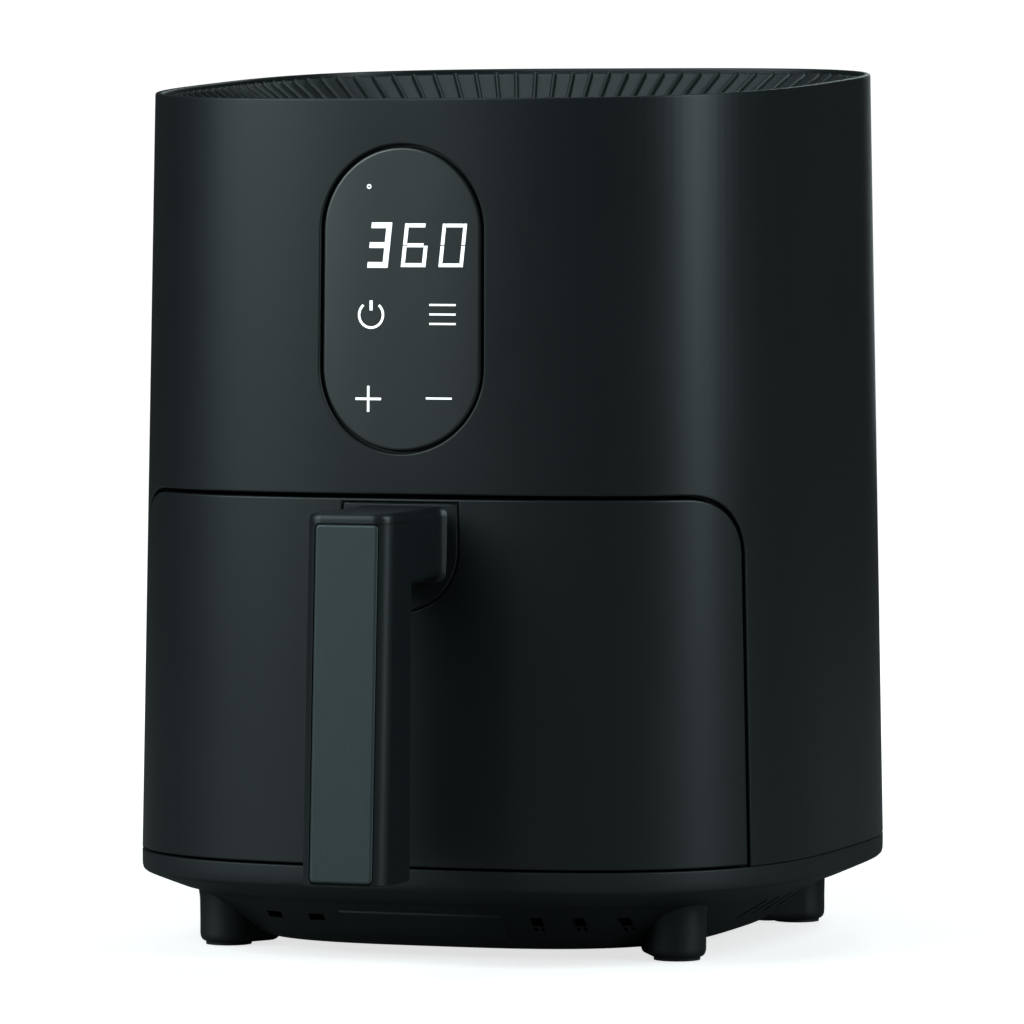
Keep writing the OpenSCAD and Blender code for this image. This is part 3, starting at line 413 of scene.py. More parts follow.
def round_front_edges(plate, radius, front=0.0, keep=lambda edge: True, segments=3):
    """Rounds the edges where a plate's front meets its sides."""

    def at_front(edge):
        return (
            all(abs(vert.co.y - front) < SAME for vert in edge.verts)
            and any(abs(face.normal.y) < 0.5 for face in edge.link_faces)
            and keep(edge)
        )

    with editing(plate, "EDGE"):
        if pick(plate, "edges", at_front):
            bpy.ops.mesh.bevel(offset=radius, segments=segments, profile=0.5, clamp_overlap=False)


def wrap_on(skin, piece, steps, inward=0.0):
    """Cuts a flat piece into upright strips and bends it onto the body."""
    xs = [vert.co.x for vert in piece.data.vertices]
    low, high = min(xs), max(xs)
    lines = []
    for i in range(-steps, 2 * steps):
        s = skin.s_at_turn(i % steps / steps) + (i // steps) * skin.around
        if low + 1e-4 < s < high - 1e-4:
            lines.append(s)
    with editing(piece):
        for s in lines:
            bpy.ops.mesh.select_all(action="SELECT")
            bpy.ops.mesh.bisect(plane_co=(s, 0, 0), plane_no=(1, 0, 0))
    for vert in piece.data.vertices:
        vert.co = skin.point(vert.co.x, vert.co.y + inward, vert.co.z)
    with editing(piece):
        weld()


def smooth(piece, degrees=38):
    """Smooth shading that keeps broad faces flat and true."""
    activate(piece)
    bpy.ops.object.shade_smooth_by_angle(angle=math.radians(degrees))
    apply_modifier(piece, "WEIGHTED_NORMAL", mode="FACE_AREA", weight=50, keep_sharp=True)


def finished(piece, body, slot, material, *nodes):
    """Gives a piece its finish, its moving body and the nodes that it stands for."""
    piece.data.materials.clear()
    piece.data.materials.append(material)
    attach(piece, body)
    if nodes:
        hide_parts(*nodes)
    return piece


def arc(cx, cz, r, start, end, steps):
    """Points of an arc between two angles in degrees."""
    return [
        (cx + r * math.cos(math.radians(a)), cz + r * math.sin(math.radians(a)))
        for a in (start + (end - start) * i / steps for i in range(steps + 1))
    ]


def pill(cx, cz, w, h, stretch=1.0, steps=32):
    """Outline with two round ends, the longer way along X or Z; stretch widens X."""
    r = min(w, h) / 2
    if h >= w:
        run = arc(0, (h - w) / 2, r, 0, 180, steps) + arc(0, -(h - w) / 2, r, 180, 360, steps)
    else:
        run = arc((w - h) / 2, 0, r, -90, 90, steps) + arc(-(w - h) / 2, 0, r, 90, 270, steps)
    tidy = [p for i, p in enumerate(run) if math.dist(p, run[i - 1]) > 1e-7]
    return [(cx + x * stretch, cz + z) for x, z in tidy]


def rounded_box_outline(x0, y0, x1, y1, r, steps=8, r_far=None):
    """Corner arcs of a rounded rectangle, anticlockwise; r_far is the radius at the y1 side."""
    far = r if r_far is None else r_far
    return (
        arc(x1 - far, y1 - far, far, 0, 90, steps)
        + arc(x0 + far, y1 - far, far, 90, 180, steps)
        + arc(x0 + r, y0 + r, r, 180, 270, steps)
        + arc(x1 - r, y0 + r, r, 270, 360, steps)
    )


# ---- Finishes ----


class Wire:
    """A shader value whose arithmetic adds Math nodes."""

    def __init__(self, recipe, socket):
        self.recipe = recipe
        self.socket = socket

    def maths(self, operation, a, b):
        return self.recipe.node("ShaderNodeMath", {"operation": operation}, {0: a, 1: b})

    def __add__(self, other):
        return self.maths("ADD", self, other)

    def __radd__(self, other):
        return self.maths("ADD", other, self)

    def __sub__(self, other):
        return self.maths("SUBTRACT", self, other)

    def __rsub__(self, other):
        return self.maths("SUBTRACT", other, self)

    def __mul__(self, other):
        return self.maths("MULTIPLY", self, other)

    def __rmul__(self, other):
        return self.maths("MULTIPLY", other, self)

    def __gt__(self, other):
        return self.maths("GREATER_THAN", self, other)


class Recipe:
    """A material made of nodes."""

    def __init__(self, name):
        self.material = bpy.data.materials.new(name)
        self.material.use_nodes = True
        self.tree = self.material.node_tree
        self.shader = next(n for n in self.tree.nodes if n.type == "BSDF_PRINCIPLED")

    def plug(self, socket, value):
        if isinstance(value, Wire):
            self.tree.links.new(value.socket, socket)
        else:
            socket.default_value = value

    def node(self, kind, options=None, values=None, output=0):
        """Adds a node, sets its options, then its sockets, and returns one of its outputs."""
        node = self.tree.nodes.new(kind)
        for key, value in (options or {}).items():
            if key == "stops":
                self.set_stops(node.color_ramp, value)
            else:
                setattr(node, key, value)
        for key, value in (values or {}).items():
            self.plug(node.inputs[key], value)
        return Wire(self, node.outputs[output])

    @staticmethod
    def set_stops(ramp, stops):
        while len(ramp.elements) < len(stops):
            ramp.elements.new(1.0)
        for element, (place, value) in zip(ramp.elements, stops):
            element.position = place
            element.color = (*value, 1.0)

    def place(self, scale=(1.0, 1.0, 1.0), turn=(0.0, 0.0, 0.0), shift=(0.0, 0.0, 0.0)):
        """Object coordinates, shifted, turned and scaled."""
        source = self.node("ShaderNodeTexCoord", output="Object")
        return self.node(
            "ShaderNodeMapping",
            values={"Vector": source, "Location": shift, "Rotation": turn, "Scale": scale},
        )

    def noise(self, scale, detail=2.0, rough=0.5, where=None, warp=0.0):
        return self.node(
            "ShaderNodeTexNoise",
            values={
                "Vector": where or self.place(), "Scale": scale, "Detail": detail,
                "Roughness": rough, "Distortion": warp,
            },
        )

    def cells(self, scale, where=None, output="Distance"):
        return self.node(
            "ShaderNodeTexVoronoi", values={"Vector": where or self.place(), "Scale": scale}, output=output
        )

    def blend(self, share, a, b):
        """Colour between a and b."""
        node = self.tree.nodes.new("ShaderNodeMix")
        node.data_type = "RGBA"
        self.plug(node.inputs["Factor"], share)
        for key, value in ((6, a), (7, b)):
            self.plug(node.inputs[key], value if isinstance(value, Wire) else (*value, 1.0))
        return Wire(self, node.outputs[2])

    def relief(self, height, strength, distance):
        """Bump on the shader's normal."""
        bump = self.node(
            "ShaderNodeBump",
            values={"Height": height, "Strength": strength, "Distance": distance},
        )
        self.plug(self.shader.inputs["Normal"], bump)

    def surface(self, **values):
        for key, value in values.items():
            self.plug(self.shader.inputs[key.replace("_", " ")], value)
        return self.material


def shade(value, factor):
    return tuple(min(1.0, part * factor) for part in value)


def moulded_plastic(name, base, rough, grain=0.3 * MM, depth=0.012 * MM, variation=0.12, gloss=0.5):
    """Moulded plastic with a spark-eroded grain, faint flow clouds and handling marks."""
    r = Recipe(name)
    grain_map = r.noise(1 / grain, 3.0, 0.65)
    pits = r.cells(0.7 / grain)
    clouds = r.noise(11.0, 3.0, 0.55, warp=0.6)
    rubbed = r.noise(60.0, 4.0, 0.6, where=r.place(scale=(1, 1, 0.35)))
    tone = r.blend(clouds, shade(base, 1 - variation), shade(base, 1 + variation))
    tone = r.blend(grain_map * 0.25, tone, shade(base, 1.35))
    r.relief(grain_map * 0.7 + pits * 0.3, 0.35, depth)
    return r.surface(
        Base_Color=tone,
        Roughness=rough + (clouds - 0.5) * 0.07 + (grain_map - 0.5) * 0.10 + (rubbed - 0.5) * 0.05,
        Specular_IOR_Level=gloss,
    )


def tinted_lens(name, base):
    """Dark glossy lens with faint smudges and fine wipe marks."""
    r = Recipe(name)
    smudge = r.noise(38.0, 4.0, 0.6, warp=1.2)
    wipe = r.noise(900.0, 2.0, 0.5, where=r.place(scale=(1.0, 1.0, 0.06)))
    tone = r.blend(smudge, shade(base, 0.9), shade(base, 1.12))
    r.relief(wipe, 0.02, 0.002 * MM)
    return r.surface(
        Base_Color=tone, Roughness=0.35 + (smudge - 0.5) * 0.08 + (wipe - 0.5) * 0.02,
        Specular_IOR_Level=1.0,
    )


def satin_plate(name, base):
    """Lacquered satin plate with fine upright brushing."""
    r = Recipe(name)
    lines = r.noise(2600.0, 3.0, 0.6, where=r.place(scale=(1.0, 1.0, 0.012)))
    fleck = r.noise(3400.0, 2.0, 0.5)
    cloud = r.noise(16.0, 2.0)
    tone = r.blend(lines, shade(base, 0.86), shade(base, 1.16))
    tone = r.blend((fleck > 0.66) * 0.35, tone, shade(base, 1.7))
    r.relief(lines * 0.6 + fleck * 0.4, 0.3, 0.008 * MM)
    return r.surface(
        Base_Color=tone, Metallic=0.45, Roughness=0.44 + (cloud - 0.5) * 0.06 + (lines - 0.5) * 0.12,
    )


def lit_symbol(name, base):
    """Backlit symbol, a touch uneven as its light guide is."""
    r = Recipe(name)
    spread = r.noise(420.0, 2.0)
    glow = r.blend(spread, shade(base, 0.86), base)
    return r.surface(
        Base_Color=glow, Roughness=0.4, Emission_Color=glow, Emission_Strength=1.15,
    )


def soft_rubber(name, base, rough=0.72):
    """Matte rubber with a dusty bloom and fine pores."""
    r = Recipe(name)
    bloom = r.noise(90.0, 4.0, 0.6)
    pores = r.cells(1600.0)
    tone = r.blend(bloom, base, shade(base, 1.8))
    r.relief(pores, 0.3, 0.02 * MM)
    return r.surface(Base_Color=tone, Roughness=rough + (bloom - 0.5) * 0.15)


def plated_steel(name, base, rough=0.34, along=(1.0, 0.04, 1.0), metal=1.0):
    """Plated or brushed metal with drawn lines, blotches and small scratches."""
    r = Recipe(name)
    lines = r.noise(1500.0, 3.0, 0.6, where=r.place(scale=along))
    blotch = r.noise(45.0, 3.0, 0.55, warp=0.5)
    scratch = r.noise(500.0, 2.0, 0.5, where=r.place(scale=(0.05, 1, 1), turn=(0.3, 0.4, 0.9)))
    tone = r.blend(blotch, shade(base, 0.84), shade(base, 1.06))
    tone = r.blend((scratch > 0.68) * 0.4, tone, shade(base, 0.6))
    r.relief(lines, 0.18, 0.01 * MM)
    return r.surface(
        Base_Color=tone, Metallic=metal,
        Roughness=rough + (lines - 0.5) * 0.16 + (blotch - 0.5) * 0.12,
    )


def spangled_sheet(name, base):
    """Aluminised sheet with a faint crystal spangle and heat bloom."""
    r = Recipe(name)
    spangle = r.cells(160.0, output="Color")
    grey = r.node("ShaderNodeRGBToBW", values={0: spangle})
    bloom = r.noise(14.0, 3.0, 0.5)
    tone = r.blend(grey, shade(base, 0.82), shade(base, 1.05))
    tone = r.blend((bloom > 0.62) * 0.3, tone, (base[0] * 0.9, base[1] * 0.74, base[2] * 0.5))
    r.relief(grey, 0.06, 0.02 * MM)
    return r.surface(Base_Color=tone, Metallic=0.95, Roughness=0.38 + (grey - 0.5) * 0.14)


def nonstick_coating(name, base):
    """Dark baked coating with mineral flecks and an orange-peel skin."""
    r = Recipe(name)
    peel = r.noise(420.0, 3.0, 0.5)
    fleck = r.cells(900.0)
    chosen = r.noise(520.0, 1.0)
    wear = r.noise(30.0, 4.0, 0.6)
    speck = (0.24 - fleck > 0.0) * (chosen > 0.56)
    tone = r.blend(wear, shade(base, 0.85), shade(base, 1.2))
    tone = r.blend(speck * 0.7, tone, (0.16, 0.16, 0.165))
    r.relief(peel, 0.25, 0.03 * MM)
    return r.surface(Base_Color=tone, Roughness=0.36 + (peel - 0.5) * 0.12 + (wear - 0.5) * 0.1)


def heat_tinted_rod(name, base):
    """Sheath of the heating element, darkened and tinted by heat."""
    r = Recipe(name)
    tint = r.noise(24.0, 3.0, 0.5)
    scale = r.noise(700.0, 3.0, 0.6)
    tone = r.node(
        "ShaderNodeValToRGB",
        {"stops": [(0.3, base), (0.52, (0.20, 0.14, 0.09)), (0.7, (0.10, 0.11, 0.15))]},
        {"Fac": tint},
    )
    r.relief(scale, 0.25, 0.02 * MM)
    return r.surface(Base_Color=tone, Metallic=0.8, Roughness=0.5 + (scale - 0.5) * 0.2)


def stacked_sheets(name, base):
    """Electrical steel in thin stacked sheets, seen on edge."""
    r = Recipe(name)
    sheets = r.node(
        "ShaderNodeTexWave",
        {"wave_type": "BANDS", "bands_direction": "Z"},
        {"Vector": r.place(), "Scale": 320.0, "Distortion": 0.4},
    )
    rust = r.noise(80.0, 4.0, 0.6)
    tone = r.blend(sheets, shade(base, 0.55), base)
    tone = r.blend((rust > 0.64) * 0.35, tone, (0.16, 0.09, 0.05))
    r.relief(sheets, 0.4, 0.05 * MM)
    return r.surface(Base_Color=tone, Metallic=0.7, Roughness=0.5 + (rust - 0.5) * 0.2)


def wound_copper(name, base):
    """Enamelled wire in close turns, with painted shade in the grooves between them."""
    r = Recipe(name)
    turns = r.node(
        "ShaderNodeTexWave",
        {"wave_type": "BANDS", "bands_direction": "X"},
        {"Vector": r.place(), "Scale": 420.0, "Distortion": 0.8, "Detail": 1.0},
    )
    depth = r.noise(60.0, 3.0)
    # Each turn darkens towards its sides: painted shade in the grooves between turns
    tone = r.blend(turns, shade(base, 0.4), base)
    tone = r.blend(depth * 0.3, tone, shade(base, 1.4))
    r.relief(turns, 0.6, 0.15 * MM)
    return r.surface(Base_Color=tone, Metallic=0.7, Roughness=0.32 + (depth - 0.5) * 0.1)


def circuit_board(name, base):
    """Solder-masked board with raised copper tracks."""
    r = Recipe(name)
    tracks = r.node(
        "ShaderNodeTexBrick",
        {"offset": 0.5, "squash": 1.0},
        {
            "Vector": r.place(turn=(math.radians(90), 0, 0)), "Scale": 90.0,
            "Mortar Size": 0.012, "Mortar Smooth": 0.1,
        },
        "Fac",
    )
    mask = r.noise(300.0, 2.0)
    tone = r.blend(mask * 0.3, base, shade(base, 1.5))
    tone = r.blend(tracks * 0.55, tone, shade(base, 2.4))
    r.relief(tracks, 0.3, 0.03 * MM)
    return r.surface(Base_Color=tone, Roughness=0.34 + (mask - 0.5) * 0.1)


def fired_ceramic(name, base):
    """Unglazed ceramic with fine pores."""
    r = Recipe(name)
    pores = r.cells(1100.0)
    stain = r.noise(70.0, 3.0)
    tone = r.blend(stain, shade(base, 0.86), base)
    r.relief(pores, 0.3, 0.02 * MM)
    return r.surface(Base_Color=tone, Roughness=0.62 + (stain - 0.5) * 0.15)


def make_finishes(colours):
    """Every finish, by the name of its slot."""
    shell, base, inner = tuple(colours.shell), tuple(colours.base), tuple(colours.inner)
    steel = tuple(colours.steel)
    return {
        "shell_black": moulded_plastic("satin_shell", shell, 0.39),
        "base_black": moulded_plastic("matte_base", base, 0.52, grain=0.4 * MM),
        "inner_black": moulded_plastic("inner_moulding", inner, 0.55, grain=0.45 * MM, depth=0.02 * MM),
        "panel_gloss": tinted_lens("tinted_lens", tuple(colours.lens)),
        "handle_satin": satin_plate("satin_handle_plate", tuple(colours.plate)),
        "pad_rubber": soft_rubber("soft_rubber", (0.014, 0.014, 0.015)),
        "bay_steel": spangled_sheet("aluminised_sheet", (0.56, 0.57, 0.58)),
        "bright_steel": plated_steel("plated_steel", steel),
        "element_steel": heat_tinted_rod("element_sheath", (0.10, 0.095, 0.09)),
        "core_steel": stacked_sheets("stacked_core", (0.30, 0.30, 0.32)),
        "copper_wire": wound_copper("enamelled_wire", (0.46, 0.15, 0.05)),
        "bronze": plated_steel("sintered_bronze", (0.52, 0.34, 0.14), 0.46),
        "white_ceramic": fired_ceramic("fired_ceramic", (0.78, 0.75, 0.68)),
        "board_green": circuit_board("circuit_board", (0.015, 0.11, 0.045)),
        "light_plastic": moulded_plastic("milky_plastic", (0.72, 0.72, 0.69), 0.42, variation=0.05),
        "relay_blue": moulded_plastic("relay_case", (0.015, 0.06, 0.22), 0.3),
        "winding_yellow": moulded_plastic("winding_tape", (0.58, 0.42, 0.04), 0.45),
        "capacitor_red": moulded_plastic("dipped_case", (0.42, 0.05, 0.025), 0.35),
        "wire_red": soft_rubber("silicone_sleeve", (0.26, 0.02, 0.015), 0.5),
        "pan_coating": nonstick_coating("nonstick_coating", tuple(colours.coating)),
        "fan_aluminium": plated_steel("bare_aluminium", (0.66, 0.67, 0.68), 0.3),
        "glow": lit_symbol("lit_symbol", tuple(colours.glow)),
    }


FINISHES = {}
SKINS = {}


def finish_of(slot):
    if not FINISHES:
        FINISHES.update(make_finishes(settings().colours))
    return FINISHES[slot]


def body_skin():
    if "body" not in SKINS:
        SKINS["body"] = Skin(settings().body)
    return SKINS["body"]


# ---- Shared outlines ----


def drawer_side(grow_by, z_foot, steps=18):
    """(y, z) along the drawer front's side parting line, from its foot to the top's corner arc end,
    on a profile larger by grow_by. y is the body's own depth."""
    body, drawer = settings().body, settings().drawer
    part_y = -(body.depth / 2 - drawer.part)
    cy, cz = part_y - drawer.corner, drawer.top - drawer.corner
    climb = [(part_y + grow_by, z_foot + (cz - z_foot) * i / 6) for i in range(6)]
    return climb + arc(cy, cz, drawer.corner + grow_by, 0, 90, steps)


def bar_share(z):
    drawer = settings().drawer
    return (z - drawer.bar_foot) / (drawer.bar_top - drawer.bar_foot)


def bar_back(z):
    """Back of the grip bar at height z; it leans with the drawer front."""
    drawer, skin = settings().drawer, body_skin()
    top = -(skin.half_depth(drawer.bar_top) + drawer.grip_gap)
    foot = -(skin.half_depth(drawer.bar_foot) + drawer.grip_gap)
    return BODY_Y + foot + (top - foot) * bar_share(z)


def bar_front(z):
    drawer = settings().drawer
    depth = drawer.bar_foot_depth + (drawer.bar_top_depth - drawer.bar_foot_depth) * bar_share(z)
    return bar_back(z) - depth


def root_plate_outline(grow_by, top):
    """Round-bottomed plate at the handle's root, from its top edge."""
    drawer, skin = settings().drawer, body_skin()
    stretch = 1 / skin.grow(drawer.top)
    r = drawer.root_width / 2 + grow_by
    cz = drawer.top - 17.6 * MM
    bowl = arc(0, cz, r, 180, 360, 40)
    return [(x * stretch, z) for x, z in [(r, top), (-r, top)] + bowl]


# ---- Operators ----


class FryerPiece:
    """Shared settings of the operators."""

    bl_options = {"REGISTER", "UNDO"}


class FRYER_OT_housing(FryerPiece, bpy.types.Operator):
    """Tapered housing with its rim, panel opening, drawer opening and rear openings."""

    bl_idname = "fryer.housing"
    bl_label = "Housing"

    # Where the unrolled wall's ends meet, as a share of the way round, and how near counts as there
    join_share = -0.36
    join_reach = 1e-5
    vent_width, vent_height = 76 * MM, 30 * MM
    gland_hole = 13.4 * MM
    inner_edge = 0.8 * MM
    rim_zone = 20 * MM

    def execute(self, context):
        body, drawer, panel = settings().body, settings().drawer, settings().panel
        skin = body_skin()
        start = self.join_share * skin.around
        end = start + skin.around
        side = [
            (skin.s_where_y(y, z), z) for y, z in drawer_side(drawer.reveal, body.seam)
        ]
        steps = body.steps
        rim = []
        for i in range(steps * 2 + 1):
            s = end + (start - end) * i / (steps * 2)
            rim.append((s, skin.rim_z(s)))
        points = (
            [(start, body.seam)] + [(-s, z) for s, z in side] + side[::-1] + [(end, body.seam)] + rim
        )
        shell = flat_plate("housing_shell_skin", points, body.wall)
        hole = pill(
            0, PANEL_Z, panel.width + 2 * panel.groove, panel.height + 2 * panel.groove,
            1 / skin.grow(PANEL_Z), 48,
        )
        back = skin.around / 2
        vent = pill(back, GRILLE_Z, self.vent_width, self.vent_height, 1 / skin.grow(GRILLE_Z))
        gland_x, gland_z = middle("cord_gland", 0), middle("cord_gland", 2)
        gland = pill(
            back - gland_x / skin.grow(gland_z), gland_z, self.gland_hole, self.gland_hole,
        )
        for outline in (hole, vent, gland):
            cut(shell, flat_plate("opening", outline, 4 * body.wall, -1.5 * body.wall))

        def at_join(x):
            return min(abs(x - start), abs(x - end)) < self.join_reach

        def not_at_join(edge):
            return not all(at_join(v.co.x) for v in edge.verts)

        round_front_edges(shell, body.edge, keep=not_at_join)

        def inner_rim(edge):
            return all(
                abs(v.co.y - body.wall) < SAME and v.co.z > body.height - self.rim_zone
                for v in edge.verts
            ) and any(abs(f.normal.y) < 0.5 for f in edge.link_faces) and not_at_join(edge)

        with editing(shell, "EDGE"):
            if pick(shell, "edges", inner_rim):
                bpy.ops.mesh.bevel(
                    offset=self.inner_edge, segments=3, profile=0.5, clamp_overlap=False
                )
        with editing(shell, "FACE"):
            pick(
                shell, "faces",
                lambda f: abs(f.normal.x) > 0.99 and at_join(f.calc_center_median().x),
            )
            bpy.ops.mesh.delete(type="FACE")
        wrap_on(skin, shell, steps)
        smooth(shell)
        finished(shell, "cabinet", "shell_black", finish_of("shell_black"), "housing_shell")
        return {"FINISHED"}


class FRYER_OT_top_cover(FryerPiece, bpy.types.Operator):
    """Dished top with its radial ribs, hub and air slots."""

    bl_idname = "fryer.top_cover"
    bl_label = "Top cover"

    dish_depth = 17 * MM
    slope_width = 22 * MM
    hub_radius = 28 * MM
    ribs = 104
    slots = 26
    sheet = 1.6 * MM
    edge_gap = 2.2 * MM
    land_drop = 1.6 * MM
    hub_rise = 1.45 * MM
    slot_start, slot_length, slot_width, slot_depth = 6 * MM, 42 * MM, 3 * MM, 8 * MM

    def on_dish(self, turn, inset, drop, pull=0.0):
        """Point in the rim's sloping frame; pull from 0 to 1 moves it onto the hub's circle."""
        body = settings().body
        t = angle_at(turn)
        r = reach(body.width / 2 - inset, body.depth / 2 - inset, body.squareness, t)
        r = r + (self.hub_radius - r) * pull
        return self.tilted(r * math.cos(t), r * math.sin(t), drop)

    @staticmethod
    def tilted(x, y, w):
        body = settings().body
        c, s = math.cos(body.tilt), math.sin(body.tilt)
        return Vector((x, y * c - w * s + BODY_Y, body.height + y * s + w * c))

    def rib(self, k):
        """One rib from the dish's edge down the slope and in to the hub."""
        body = settings().body
        turn = (k + 0.5) / self.ribs + 0.25
        edge = body.wall + self.edge_gap
        slope = self.slope_width
        fall = (self.dish_depth - self.land_drop) / slope
        half, tall = 0.85 * MM, 1.5 * MM
        path = [
            (edge + 0.5 * MM, 0.2), (edge + 0.8 * MM, 0.75), (edge + 1.6 * MM, 1.0),
            (edge + slope * 0.5, 1.0), (edge + slope - 0.8 * MM, 1.0), (edge + slope + 0.8 * MM, 0.95),
        ]
        stations = [
            (i, -self.land_drop - min((i - edge) * fall, fall * slope), 0.0, h) for i, h in path
        ]
        foot = edge + slope + 0.8 * MM
        stations += [(foot, -self.dish_depth, 0.5, 0.9), (foot, -self.dish_depth, 1.0, 0.8)]
        t = angle_at(turn)
        sideways = Vector((-math.sin(t), math.cos(t), 0))
        profile = [
            (-1.0, -0.3), (-0.96, 0.45), (-0.72, 0.82), (-0.3, 1.0), (0.3, 1.0), (0.72, 0.82),
            (0.96, 0.45), (1.0, -0.3),
        ]
        points = []
        for inset, drop, pull, rise in stations:
            for across, up in profile:
                p = self.on_dish(turn, inset, drop + tall * up * (rise if up > 0 else 1), pull)
                points.append(p + sideways * half * across * min(1.0, 0.55 + rise * 0.45))
        return points, len(profile), len(stations)

    def execute(self, context):
        body = settings().body
        edge = body.wall + self.edge_gap
        deep, land = self.dish_depth, self.land_drop
        out = body.wall + 0.15 * MM
        foot = edge + self.slope_width
        stations = [
            (out, -9.0 * MM, 0.0), (out, -2.0 * MM, 0.0), (out + 0.35 * MM, -land, 0.0),
            (edge - 0.2 * MM, -land, 0.0), (edge + 0.5 * MM, -1.9 * MM, 0.0),
            (edge + 2.0 * MM, -3.0 * MM, 0.0),
            (edge + self.slope_width * 0.5, -land - (deep - land) * 0.5, 0.0),
            (foot - 1.6 * MM, -deep + 1.15 * MM, 0.0), (foot, -deep + 0.25 * MM, 0.0),
            (foot + 1.6 * MM, -deep, 0.0), (foot + 1.6 * MM, -deep, 0.35), (foot + 1.6 * MM, -deep, 0.7),
            (foot + 1.6 * MM, -deep, 0.96), (foot + 1.6 * MM, -deep, 1.0),
            (foot + 1.6 * MM, -deep + 1.1 * MM, 1.0), (foot + 1.6 * MM, -deep + self.hub_rise, 1.008),
        ]
        count = body.steps
        dish = wrapped_grid(
            "dish_skin", count, len(stations) - 1,
            lambda i, j: self.on_dish((i % count) / count, *stations[j]),
        )
        with editing(dish, "EDGE"):
            # The hub's flat top closes the inner ring
            hub_top = self.tilted(0, 0, -deep + self.hub_rise)
            pick(
                dish, "edges",
                lambda e: e.is_boundary
                and all((v.co - hub_top).length < self.hub_radius * 1.05 for v in e.verts),
            )
            bpy.ops.mesh.edge_face_add()
            bpy.ops.mesh.inset(thickness=8 * MM, depth=0)
            bpy.ops.mesh.inset(thickness=1.2 * MM, depth=-0.5 * MM)
            face_outward()
            mesh = bmesh.from_edit_mesh(dish.data)
            hub_face = min(mesh.faces, key=lambda f: (f.calc_center_median() - hub_top).length)
            if hub_face.normal.z < 0:
                bpy.ops.mesh.flip_normals()
        apply_modifier(dish, "SOLIDIFY", thickness=self.sheet, offset=-1.0)
        cutters = []
        for k in range(self.slots):
            t = math.tau * (k + 0.5) / self.slots
            slot = unit_cube("slot")
            for vert in slot.data.vertices:
                along = self.hub_radius + self.slot_start + (vert.co.x + 0.5) * self.slot_length
                side = vert.co.y * self.slot_width
                x = along * math.cos(t) - side * math.sin(t)
                y = along * math.sin(t) + side * math.cos(t)
                vert.co = self.tilted(x, y, -deep + vert.co.z * self.slot_depth)
            cutters.append(slot)
        cut(dish, joined("slots", cutters))
        ribs = []
        for k in range(self.ribs):
            points, across, along = self.rib(k)
            rib = wrapped_grid("rib", across - 1, along - 1, lambda i, j: points[j * across + i])
            ribs.append(rib)
        rib_set = joined("ribs", ribs)
        with editing(rib_set):
            face_outward()
        smooth(rib_set, 60)
        smooth(dish)
        cover = joined("top_cover_dish", [dish, rib_set])
        finished(cover, "cabinet", "shell_black", finish_of("shell_black"), "top_cover")
        return {"FINISHED"}


